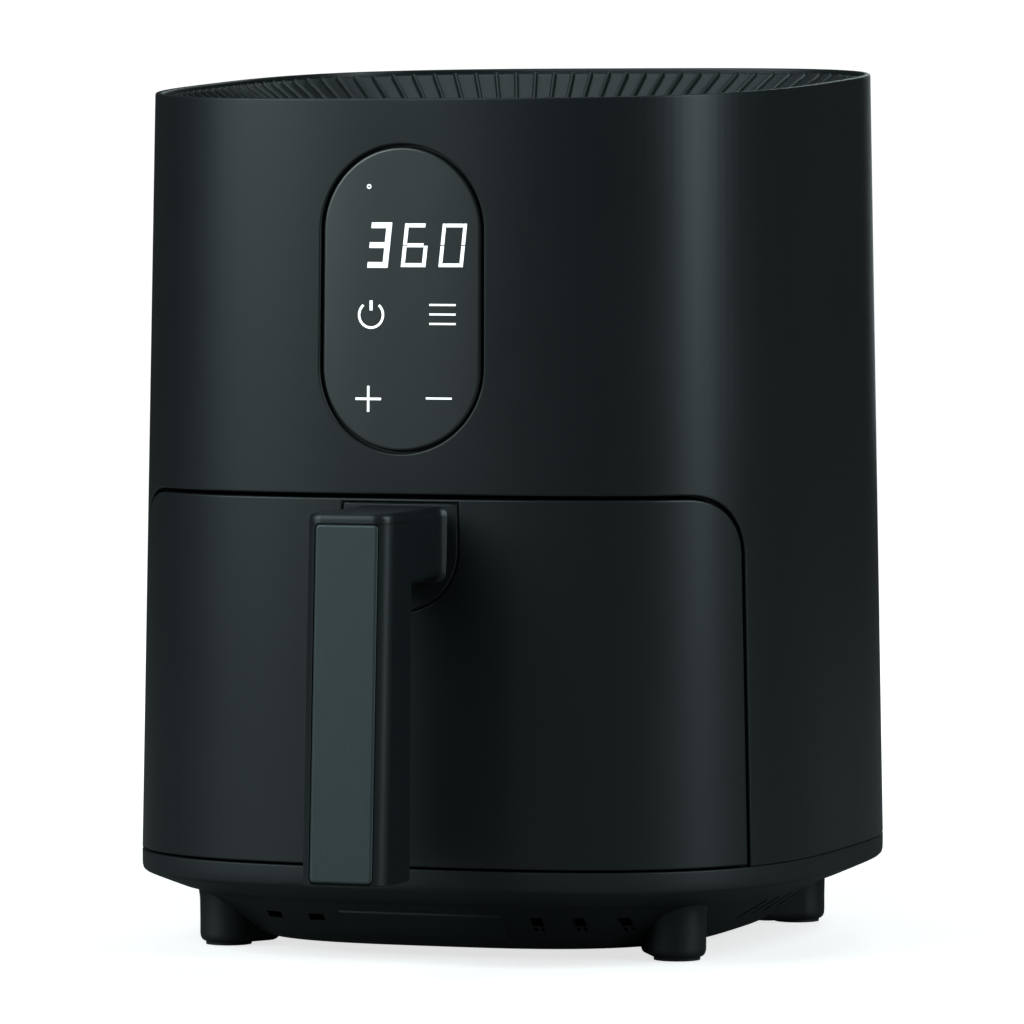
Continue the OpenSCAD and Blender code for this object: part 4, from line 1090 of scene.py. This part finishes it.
class FRYER_OT_base(FryerPiece, bpy.types.Operator):
    """Base band, skirt and tub with feet, louvres and drip holes."""

    bl_idname = "fryer.base"
    bl_label = "Base"

    pad_radius = 8 * MM
    # Long enough to reach the front wall where it curves away to the sides
    cut_depth = 50 * MM
    # Where the tub's wall starts, how far in, and its lean along X and Y
    wall_top, wall_inset, wall_lean = 17.5 * MM, (20.4 * MM, 19.8 * MM), (1.374, 0.976)

    def tub(self, skin):
        seam = settings().body.seam
        stations = [
            (2.6, 2.6, seam / MM), (0.5, 0.5, seam / MM), (0.15, 0.15, seam / MM - 0.15),
            (0.0, 0.0, seam / MM - 0.5), (0.0, 0.0, 29.4), (0.05, 0.05, 27.6), (0.35, 0.35, 26.5),
            (1.1, 1.1, 25.75), (2.4, 2.4, 25.1), (7.5, 7.5, 22.85), (12.2, 12.2, 20.85),
            (13.0, 13.0, 20.55), (14.0, 14.0, 20.3), (16.2, 16.2, 19.9), (17.4, 17.4, 19.3),
            (20.4, 19.8, 17.5), (37.3, 31.8, 5.2), (38.6, 33.0, 4.3), (40.2, 34.4, 3.6), (42.0, 36.0, 3.5),
            (60.0, 60.0, 3.5),
        ]
        count = settings().body.steps
        return lofted(
            "base_pan_skin", count, stations,
            lambda i, st: skin.ring(i / count, st[0] * MM, st[1] * MM, st[2] * MM),
        )

    @staticmethod
    def block(low, high, lean=0.0):
        """A cutter between two corners, leaned about X by an angle."""
        cutter = unit_cube("block")
        low, high = Vector(low), Vector(high)
        centre, size = (low + high) / 2, high - low
        c, s = math.cos(lean), math.sin(lean)
        for vert in cutter.data.vertices:
            x, y, z = (vert.co[k] * size[k] for k in range(3))
            vert.co = centre + Vector((x, y * c - z * s, y * s + z * c))
        return cutter

    def pockets(self, skin):
        half_d = skin.half_depth(settings().body.seam)
        half_w = skin.a * settings().body.flare
        cutters = []
        front = BODY_Y - half_d
        back = front + self.cut_depth
        for x in (41, 55, 69):
            cutters.append(self.block(
                ((x - 2) * MM, front, 12.5 * MM), ((x + 2) * MM, back, 15.6 * MM)
            ))
            for side in (-1.1, 1.1):
                cutters.append(self.block(
                    ((x + side - 0.6) * MM, front, 10.6 * MM),
                    ((x + side + 0.6) * MM, back, 11.9 * MM),
                ))
        for x in (-56, -39):
            cutters.append(self.block(
                ((x - 3) * MM, front, 12 * MM), ((x + 3) * MM, back, 14.4 * MM)
            ))
        for side in (-1, 1):
            for i in range(4):
                x = side * (half_w - 34 * MM)
                y = BODY_Y + (-24 + i * 15) * MM
                cutters.append(self.block(
                    (x - 12 * MM, y - 5 * MM, 12.3 * MM), (x + 12 * MM, y + 5 * MM, 14.7 * MM),
                    math.radians(38),
                ))
        for i in range(-4, 5):
            cutters.append(self.block(
                ((i * 9 - 2) * MM, BODY_Y - 30 * MM, -1 * MM),
                ((i * 9 + 2) * MM, BODY_Y + 30 * MM, 9 * MM),
            ))
        return joined("pockets", cutters)

    def access_plate(self, skin):
        """Shallow raised plate on the tub's front wall."""
        n = settings().body.squareness
        rows = (0.0, 0.05, 0.95, 1.0)
        columns = [-30.0, -29.4, *(-28 + 7 * k for k in range(9)), 29.4, 30.0]

        def place(i, j):
            z = (16.4 - 9.4 * rows[j]) * MM
            down = self.wall_top - z
            a = skin.a * settings().body.flare - self.wall_inset[0] - down * self.wall_lean[0]
            b = skin.b * settings().body.flare - self.wall_inset[1] - down * self.wall_lean[1]
            x = columns[i] * MM
            y = BODY_Y - b * (1 - abs(x / a) ** n) ** (1 / n)
            inner = 0 < i < len(columns) - 1 and 0 < j < 3
            return Vector((x, y, z)) + Vector((0, -0.7, -0.7)) * (0.55 * MM if inner else -0.3 * MM)

        return wrapped_grid("plate", len(columns) - 1, 3, place)

    def foot(self, sign_x, sign_y):
        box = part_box("foot_pads")
        cx = sign_x * (box[1][0] - self.pad_radius)
        cy = BODY_Y + sign_y * ((box[1][1] - box[0][1]) / 2 - self.pad_radius)
        main, tail, shift = 10 * MM, 7 * MM, 8.4 * MM
        count = 56
        stations = [
            (2.9, 0.8), (1.9, 0.95), (1.0, 1.4), (0.45, 2.0), (0.12, 2.9), (0.0, 4.0), (0.0, 9.0),
            (-0.1, 16.0), (-0.5, 19.0), (-1.6, 20.6), (-3.4, 21.6),
        ]

        def ring(i, st):
            t = math.tau * i / count
            u = Vector((math.cos(t), math.sin(t)))
            inset = st[0] * MM
            head = Vector((cx, cy))
            tail_at = head - Vector((sign_x, sign_y)) * shift
            near = (head.dot(u) + main, head, main)
            far = (tail_at.dot(u) + tail, tail_at, tail)
            _, at, r = max(near, far, key=lambda item: item[0])
            p = at + u * (r - inset)
            return Vector((p.x, p.y, st[1] * MM))

        return lofted("foot", count, stations, ring)

    def execute(self, context):
        skin = body_skin()
        tub = self.tub(skin)
        cut(tub, self.pockets(skin))
        smooth(tub, 30)
        feet = [self.foot(x, y) for x in (-1, 1) for y in (-1, 1)]
        for foot in feet:
            smooth(foot, 50)
        plate = self.access_plate(skin)
        smooth(plate, 20)
        base = joined("base_pan_skin", [tub, plate, *feet])
        finished(base, "cabinet", "base_black", finish_of("base_black"), "base_pan")
        return {"FINISHED"}


class FRYER_OT_panel(FryerPiece, bpy.types.Operator):
    """Tinted lens of the control panel and its lit symbols."""

    bl_idname = "fryer.panel"
    bl_label = "Control panel"

    sink = 0.4 * MM
    digit_height = 13.4 * MM

    @staticmethod
    def bar(x0, z0, x1, z1, stroke):
        """A straight stroke between two points."""
        a, b = Vector((x0, z0)), Vector((x1, z1))
        along = (b - a).normalized()
        across = Vector((-along.y, along.x)) * stroke / 2
        return [tuple(p) for p in (a + across, b + across, b - across, a - across)]

    def digit(self, cx, cz, lit, w, h, stroke, gap):
        """Strokes of one slanted seven-part digit; with no gap its strokes run together."""
        slant = math.tan(math.radians(6))
        half = stroke / 2
        left, right, top, low = -w / 2, w / 2, h / 2, -h / 2
        x0, x1 = (left + half + gap, right - half - gap) if gap else (left, right)
        parts = {
            "a": (x0, top, x1, top), "g": (x0, 0.0, x1, 0.0), "d": (x0, low, x1, low),
            "f": (left, gap, left, top + half), "e": (left, low - half, left, -gap),
            "b": (right, gap, right, top + half), "c": (right, low - half, right, -gap),
        }
        shapes = []
        for key in lit:
            outline = self.bar(*parts[key], stroke)
            shapes.append([(cx + x + z * slant, cz + z) for x, z in outline])
        return shapes

    def symbols(self, panel_z):
        line = settings().panel.stroke
        shapes = []
        # Read-out with plain numbers, as on a dial
        read_z = panel_z + 18.2 * MM
        numbers = [
            (-8.4, "abcdg", 6.4, 1.95, 0.0), (4.9, "acdefg", 7.5, 1.35, 0.16),
            (18.3, "abcdef", 7.4, 1.25, 0.16),
        ]
        for x, lit, wide, thick, gap in numbers:
            shapes += self.digit(
                x * MM, read_z, lit, wide * MM, self.digit_height, thick * MM, gap * MM
            )
        # Degree ring
        ring = self.ring(-11.9 * MM, panel_z + 38.0 * MM, 0.6 * MM, 0.45 * MM, 0, 360, 20)
        # Power, menu, plus and minus
        power = (-10.9 * MM, panel_z - 5.4 * MM)
        shapes.append(self.bar(power[0], power[1] + 1.5 * MM, power[0], power[1] + 4.9 * MM, line * 1.3))
        for z in (-1.9, -5.1, -8.3):
            shapes.append(self.bar(10.0 * MM, panel_z + z * MM, 19.4 * MM, panel_z + z * MM, line * 0.8))
        plus = (-11.7 * MM, panel_z - 33.8 * MM)
        shapes.append(self.bar(plus[0] - 4.6 * MM, plus[1], plus[0] + 4.6 * MM, plus[1], line))
        shapes.append(self.bar(plus[0], plus[1] + 0.45 * MM, plus[0], plus[1] + 4.4 * MM, line))
        shapes.append(self.bar(plus[0], plus[1] - 4.4 * MM, plus[0], plus[1] - 0.45 * MM, line))
        shapes.append(self.bar(8.9 * MM, plus[1] + 0.35 * MM, 18.1 * MM, plus[1] + 0.35 * MM, line * 0.8))
        return shapes, [ring, self.ring(*power, 4.3 * MM, line, 130, 410, 40)]

    @staticmethod
    def ring(cx, cz, r, stroke, start, end, steps):
        outer = arc(cx, cz, r + stroke / 2, start, end, steps)
        inner = arc(cx, cz, r - stroke / 2, end, start, steps)
        if end - start == 360:
            outer[-1] = (outer[-1][0], outer[-1][1] - 1e-6)
            inner[0] = (inner[0][0], inner[0][1] - 1e-6)
        return outer + inner

    def execute(self, context):
        body, panel = settings().body, settings().panel
        skin = body_skin()
        stretch = 1 / skin.grow(PANEL_Z)
        lens = flat_plate(
            "touch_lens_skin", pill(0, PANEL_Z, panel.width, panel.height, stretch, 48), 2 * MM
        )
        round_front_edges(lens, 1.2 * MM, segments=4)
        wrap_on(skin, lens, body.steps, self.sink)
        smooth(lens)
        finished(lens, "cabinet", "panel_gloss", finish_of("panel_gloss"), "touch_lens")
        shapes, rings = self.symbols(PANEL_Z)
        marks = []
        for outline in shapes + rings:
            flat = [(x * stretch, z) for x, z in outline]
            mark = flat_plate("mark", flat, 0.06 * MM, -0.03 * MM)
            for vert in mark.data.vertices:
                vert.co = skin.point(vert.co.x, vert.co.y + self.sink, vert.co.z)
            marks.append(mark)
        lit = joined("lit_symbols", marks)
        finished(lit, "cabinet", "light_plastic", finish_of("glow"))
        return {"FINISHED"}


class FRYER_OT_rear_grille(FryerPiece, bpy.types.Operator):
    """Slotted exhaust grille set into the back."""

    bl_idname = "fryer.rear_grille"
    bl_label = "Rear grille"

    def execute(self, context):
        skin = body_skin()
        z, stretch = GRILLE_Z, 1 / skin.grow(GRILLE_Z)
        back = skin.around / 2
        grille = flat_plate("rear_grille_skin", pill(back, z, 75.6 * MM, 29.6 * MM, stretch), 2.4 * MM)
        slots = [
            flat_plate("slot", pill(back + i * 9 * MM * stretch, z, 4 * MM, 18 * MM), 12 * MM, -4 * MM)
            for i in range(-3, 4)
        ]
        cut(grille, joined("slots", slots))
        round_front_edges(grille, 0.4 * MM)
        wrap_on(skin, grille, settings().body.steps, 0.3 * MM)
        smooth(grille)
        finished(grille, "cabinet", "inner_black", finish_of("inner_black"), "rear_grille")
        return {"FINISHED"}


class FRYER_OT_drawer_front(FryerPiece, bpy.types.Operator):
    """Wrap-around drawer front with its rounded top, floor and the recess for the handle's root."""

    bl_idname = "fryer.drawer_front"
    bl_label = "Drawer front"

    def execute(self, context):
        body, drawer = settings().body, settings().drawer
        skin = body_skin()
        foot = body.seam + drawer.seam_gap
        side_yz = drawer_side(0.0, foot)
        side = [(skin.s_where_y(y, z), z) for y, z in side_yz]
        front = flat_plate(
            "drawer_front_skin", [(-s, z) for s, z in side] + side[::-1], body.wall
        )
        cut(front, flat_plate(
            "recess", root_plate_outline(0.35 * MM, drawer.top - 1.3 * MM), 4.2 * MM, -3 * MM
        ))
        round_front_edges(front, body.edge)
        wrap_on(skin, front, body.steps)
        smooth(front)
        # The top sheet follows the side profile from the rear foot up and forward over the corner
        arc_end_y = side_yz[-1][0]
        face_y = -(skin.half_depth(drawer.top) - body.wall)
        steps, floor_steps = 24, 30

        def spanned(name, rows):
            """A sheet of level rows, each from one side wall to the other."""

            def place(i, j):
                y, z = rows[j]
                half = skin.half_width_at(y, z, body.wall)
                return Vector((half * (i - 2) / 2, y + BODY_Y, z))

            return wrapped_grid(name, 4, len(rows) - 1, place)

        forward = [
            (arc_end_y + (face_y - arc_end_y) * i / steps, drawer.top) for i in range(1, steps + 1)
        ]
        top = spanned("drawer_top", side_yz + forward)
        bottom = spanned("drawer_floor", [
            (side_yz[0][0] + (face_y - side_yz[0][0]) * i / floor_steps, foot)
            for i in range(floor_steps + 1)
        ])
        back_z = side_yz[6][1]
        with editing(top, "FACE"):
            # The flat rear is open, as the tray is
            pick(top, "faces", lambda f: f.calc_center_median().z < back_z and abs(f.normal.y) > 0.9)
            bpy.ops.mesh.delete(type="FACE")
        for sheet, up in ((top, 1), (bottom, -1)):
            with editing(sheet):
                face_outward()
                mesh = bmesh.from_edit_mesh(sheet.data)
                mesh.normal_update()
                if sum(f.normal.z * f.calc_area() for f in mesh.faces) * up < 0:
                    bpy.ops.mesh.flip_normals()
            apply_modifier(sheet, "SOLIDIFY", thickness=body.wall, offset=-1.0)
            smooth(sheet, 45)
        piece = joined("drawer_front_skin", [front, top, bottom])
        finished(piece, "drawer", "shell_black", finish_of("shell_black"), "drawer_front")
        return {"FINISHED"}


class FRYER_OT_handle(FryerPiece, bpy.types.Operator):
    """Grip bar with its neck, root plate and satin front plate."""

    bl_idname = "fryer.handle"
    bl_label = "Handle"

    corner = 6.0 * MM
    back_corner = 2.4 * MM
    lip = 3.6 * MM

    def bar(self):
        drawer = settings().drawer
        foot, top = drawer.bar_foot, drawer.bar_top
        half = drawer.bar_width / 2
        stations = [
            (foot, 1.0), (foot + 0.15 * MM, 0.55), (foot + 0.5 * MM, 0.2), (foot + 1.0 * MM, 0.0),
            (top - 3.75 * MM, 0.0), (top - 3.7 * MM, 0.28), (top - 3.45 * MM, 0.28), (top - 3.4 * MM, 0.0),
            (top - 2.2 * MM, 0.0), (top - 1.3 * MM, 0.15), (top - 0.55 * MM, 0.6), (top - 0.15 * MM, 1.2),
            (top, 2.0),
        ]
        count = len(rounded_box_outline(-1, -1, 1, 1, 0.5))

        def ring(i, st):
            z, inset = st[0], st[1] * MM
            x0, x1 = -half + inset, half - inset
            y0, y1 = bar_front(z) + inset, bar_back(z) - inset
            r = max(self.corner - inset * 0.5, 0.8 * MM)
            r_far = max(self.back_corner - inset * 0.5, 0.8 * MM)
            return Vector((*rounded_box_outline(x0, y0, x1, y1, r, 8, r_far)[i], z))

        return lofted("handle_bar", count, stations, ring)

    def upright_slab(self, name, width, z0, z1, d0, d1, r):
        """An upright slab between two depths, with rounded corners, for lean() to tilt."""
        outline = rounded_box_outline(-width / 2, z0, width / 2, z1, r, 6)
        return flat_plate(name, outline, d1 - d0, d0)

    @staticmethod
    def lean(slab):
        """Moves a slab onto the bar's leaning front."""
        for vert in slab.data.vertices:
            vert.co.y += bar_front(vert.co.z)

    def neck(self, skin):
        drawer = settings().drawer
        start = bar_back(drawer.bar_top) - 7 * MM
        end = BODY_Y - skin.half_depth(drawer.bar_top) + 1.0 * MM
        half = drawer.bar_width / 2 - 0.02 * MM
        stations = [
            (start, 0.0), (end - 9.0 * MM, 0.0), (end - 5.0 * MM, 0.05), (end - 3.4 * MM, 0.25),
            (end - 2.4 * MM, 0.6), (end - 1.7 * MM, 1.1), (end - 1.2 * MM, 1.8), (end, 2.6),
        ]
        rise = 2.0 * MM / (end - start)
        count = len(rounded_box_outline(-1, -1, 1, 1, 0.5))

        def ring(i, st):
            y, grown = st[0], st[1] * MM
            top = drawer.bar_top - 0.05 * MM + min(grown * 0.12, 0.5 * MM)
            under = drawer.neck + (y - start) * rise - grown
            x, z = rounded_box_outline(-half - grown, under, half + grown, top, 3.4 * MM)[i]
            return Vector((x, y, z))

        return lofted("handle_neck", count, stations, ring)

    def execute(self, context):
        body, drawer = settings().body, settings().drawer
        skin = body_skin()
        bar = self.bar()
        plate_z0, plate_z1 = drawer.bar_foot + 1.0 * MM, drawer.bar_top - self.lip
        gap = 0.2 * MM
        pocket = self.upright_slab(
            "pocket", drawer.plate_width + 2 * gap, plate_z0 - gap, plate_z1 + gap, -5 * MM, 2 * MM, 1.9 * MM
        )
        self.lean(pocket)
        cut(bar, pocket)
        smooth(bar, 35)
        neck = self.neck(skin)
        smooth(neck, 35)
        root = flat_plate("handle_root", root_plate_outline(0.0, drawer.top - 1.6 * MM), 1.15 * MM)
        round_front_edges(root, 0.5 * MM)
        wrap_on(skin, root, body.steps)
        smooth(root)
        handle = joined("handle_body_skin", [bar, neck, root])
        finished(handle, "drawer", "shell_black", finish_of("shell_black"), "handle_body")
        plate = self.upright_slab(
            "handle_plate_skin", drawer.plate_width, plate_z0, plate_z1, 0.0, 1.9 * MM, 1.7 * MM
        )
        round_front_edges(plate, 1.2 * MM, segments=4)
        self.lean(plate)
        smooth(plate)
        finished(plate, "drawer", "handle_satin", finish_of("handle_satin"), "handle_plate")
        return {"FINISHED"}


class FRYER_OT_pan(FryerPiece, bpy.types.Operator):
    """Pressed pan with rounded floor edges and a rolled lip."""

    bl_idname = "fryer.pan"
    bl_label = "Basket pan"

    def execute(self, context):
        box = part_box("basket_pan")
        lip = 2.3 * MM
        x1 = box[1][0] - lip
        y0, y1 = box[0][1], box[1][1] - lip
        z0, z1 = box[0][2], box[1][2]
        t, corner, floor_r = 1.0 * MM, 42 * MM, 2.2 * MM
        count = len(rounded_box_outline(-1, -1, 1, 1, 0.5, 12))
        bend = [(floor_r * (1 - math.sin(a)), floor_r * (1 - math.cos(a)))
                for a in (math.radians(d) for d in range(0, 91, 15))]
        stations = [(40 * MM, z0)]
        stations += [(inset, z0 + rise) for inset, rise in bend]
        stations += [
            (0.0, z1 - 4 * MM), (-0.6 * MM, z1 - 2.9 * MM), (-1.7 * MM, z1 - 2.7 * MM),
            (-lip, z1 - 1.9 * MM), (-lip, z1 - 1.0 * MM), (-lip + 0.6 * MM, z1 - 0.25 * MM),
            (-lip + 1.4 * MM, z1), (t - 0.6 * MM, z1 - 0.05 * MM), (t - 0.1 * MM, z1 - 0.6 * MM),
            (t, z1 - 1.6 * MM),
        ]
        stations += [(t + inset * 0.86, z0 + t + rise) for inset, rise in bend[::-1]]
        stations += [(40 * MM, z0 + t)]

        def ring(i, st):
            inset, z = st
            forward = max(inset, 0.0)
            r = max(corner - inset, 3 * MM)
            x, y = rounded_box_outline(-x1 + inset, y0 + forward, x1 - inset, y1 - inset, r, 12)[i]
            return Vector((x, y, z))

        pan = lofted("basket_pan_skin", count, stations, ring)
        smooth(pan, 50)
        finished(pan, "drawer", "pan_coating", finish_of("pan_coating"), "basket_pan")
        return {"FINISHED"}


class FRYER_OT_finishes(FryerPiece, bpy.types.Operator):
    """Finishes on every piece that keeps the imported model's own shape."""

    bl_idname = "fryer.finishes"
    bl_label = "Finishes"

    def execute(self, context):
        slots = {row["node"]: row["material_slot"] for row in frame["record"]["subparts"]}
        for name, node in frame["nodes"].items():
            finish = finish_of(slots[name])
            if not node.material_slots:
                raise RuntimeError(f"{name} has no material slot")
            for material_slot in node.material_slots:
                material_slot.link = "OBJECT"
                material_slot.material = finish
        return {"FINISHED"}


class FRYER_OT_stage(FryerPiece, bpy.types.Operator):
    """Pale floor, soft studio light and the camera."""

    bl_idname = "fryer.stage"
    bl_label = "Stage"

    azimuth = math.radians(18.95)
    elevation = math.radians(2.69)
    distance = 2.73
    lens = 271.9
    tint = (0.80, 0.97, 1.0)
    fill = 0.035
    # Share of the floor's glow kept next to the object, where a shadow is painted
    painted_shade_lift = 0.84
    floor_glow = 1.2
    backdrop = 1.05
    aim_height, aim_right, aim_up = 150 * MM, 1.75 * MM, 1.35 * MM
    light_target = 0.16
    floor_size, floor_drop = 24, 0.0002

    def softbox(self, name, round_from_front, distance, height, size, brightness):
        turn = math.radians(round_from_front)
        place = (math.sin(turn) * distance, BODY_Y - math.cos(turn) * distance, height)
        target = (0, BODY_Y, self.light_target)
        light = bpy.data.lights.new(name, "AREA")
        light.shape = "RECTANGLE"
        light.size, light.size_y = size
        light.energy = brightness * math.pi * size[0] * size[1]
        light.color = self.tint
        lamp = bpy.data.objects.new(name, light)
        bpy.context.scene.collection.objects.link(lamp)
        lamp.location = place
        lamp.rotation_euler = (Vector(target) - Vector(place)).to_track_quat("-Z", "Y").to_euler()
        lamp.visible_camera = False

    def camera(self):
        a, e = self.azimuth, self.elevation
        look = Vector((-math.sin(a) * math.cos(e), math.cos(a) * math.cos(e), -math.sin(e)))
        right = Vector((math.cos(a), math.sin(a), 0))
        up = right.cross(look)
        aim = Vector((0, BODY_Y, self.aim_height)) - right * self.aim_right - up * self.aim_up
        lens = bpy.data.cameras.new("view")
        lens.lens = self.lens
        lens.sensor_width = 36
        lens.clip_end = 50
        camera = bpy.data.objects.new("view", lens)
        bpy.context.scene.collection.objects.link(camera)
        camera.location = aim - look * self.distance
        camera.rotation_euler = look.to_track_quat("-Z", "Y").to_euler()
        bpy.context.scene.camera = camera

    def floor(self):
        deselect()
        bpy.ops.mesh.primitive_plane_add(size=self.floor_size, location=(0, 0, -self.floor_drop))
        floor = named(bpy.context.object, "studio_floor")
        r = Recipe("studio_floor")
        cloud = r.noise(1.2, 2.0)
        tone = tuple(settings().colours.floor)
        # Seen straight on, the floor is lifted to white, less so near the object, which paints a shadow
        # round its foot; what it throws back stays soft
        seen = r.node("ShaderNodeLightPath", output="Is Camera Ray")
        apart = r.node("ShaderNodeVectorMath", {"operation": "LENGTH"}, {0: r.place()}, "Value")
        # Glow rises with distance from the object: lower next to it, as painted shade
        far = r.node(
            "ShaderNodeMapRange", {"interpolation_type": "SMOOTHSTEP"},
            {
                "Value": apart, "From Min": 0.16, "From Max": 1.1,
                "To Min": self.painted_shade_lift / self.floor_glow, "To Max": 1.0,
            },
        )
        r.surface(
            Base_Color=r.blend(seen, shade(tone, 0.3), r.blend(cloud, shade(tone, 0.995), tone)),
            Roughness=0.6, Emission_Color=r.blend(seen * far, (0.0, 0.0, 0.0), tone),
            Emission_Strength=self.floor_glow,
        )
        floor.data.materials.append(r.material)

    def world(self):
        world = bpy.data.worlds.new("studio")
        bpy.context.scene.world = world
        world.use_nodes = True
        nodes, links = world.node_tree.nodes, world.node_tree.links
        fill = next(n for n in nodes if n.type == "BACKGROUND")
        out = next(n for n in nodes if n.type == "OUTPUT_WORLD")
        fill.inputs["Color"].default_value = (1.0, 1.0, 1.0, 1.0)
        fill.inputs["Strength"].default_value = self.fill
        white = nodes.new("ShaderNodeBackground")
        white.inputs["Color"].default_value = (1.0, 1.0, 1.0, 1.0)
        white.inputs["Strength"].default_value = self.backdrop
        path = nodes.new("ShaderNodeLightPath")
        mix = nodes.new("ShaderNodeMixShader")
        links.new(path.outputs["Is Camera Ray"], mix.inputs["Fac"])
        links.new(fill.outputs["Background"], mix.inputs[1])
        links.new(white.outputs["Background"], mix.inputs[2])
        links.new(mix.outputs["Shader"], out.inputs["Surface"])

    def execute(self, context):
        self.camera()
        self.floor()
        self.world()
        bpy.context.scene.view_settings.view_transform = "Standard"
        # Each light: its direction round the object from the front, its distance and height, its
        # width and height, and its brightness
        self.softbox("left_box", -42, 1.8, 1.15, (1.5, 1.7), 3.55)
        self.softbox("right_strip", 79, 1.7, 1.05, (0.58, 1.6), 6.1)
        self.softbox("rim_strip", 186, 1.7, 0.6, (0.4, 1.0), 1.6)
        self.softbox("top_box", -150, 0.7, 1.7, (1.1, 0.5), 1.5)
        return {"FINISHED"}


# ---- Panel and registration ----

PIECES = (
    FRYER_OT_finishes, FRYER_OT_housing, FRYER_OT_top_cover, FRYER_OT_base, FRYER_OT_panel,
    FRYER_OT_rear_grille, FRYER_OT_drawer_front, FRYER_OT_handle, FRYER_OT_pan, FRYER_OT_stage,
)


class FRYER_PT_sidebar(bpy.types.Panel):
    """Lists the air fryer's operators."""

    bl_idname = "FRYER_PT_sidebar"
    bl_label = "Air Fryer"
    bl_space_type = "VIEW_3D"
    bl_region_type = "UI"
    bl_category = "Air Fryer"

    def draw(self, context):
        for piece in PIECES:
            self.layout.operator(piece.bl_idname)


CLASSES = (
    FRYER_PG_body, FRYER_PG_drawer, FRYER_PG_panel, FRYER_PG_colours, FRYER_PG_settings,
    *PIECES, FRYER_PT_sidebar,
)


def register():
    for cls in CLASSES:
        bpy.utils.register_class(cls)
    bpy.types.Scene.air_fryer = PointerProperty(type=FRYER_PG_settings)


def unregister():
    del bpy.types.Scene.air_fryer
    for cls in reversed(CLASSES):
        bpy.utils.unregister_class(cls)


def main():
    register()
    for piece in PIECES:
        group, action = piece.bl_idname.split(".")
        getattr(getattr(bpy.ops, group), action)()
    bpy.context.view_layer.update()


if __name__ == "__main__":
    main()
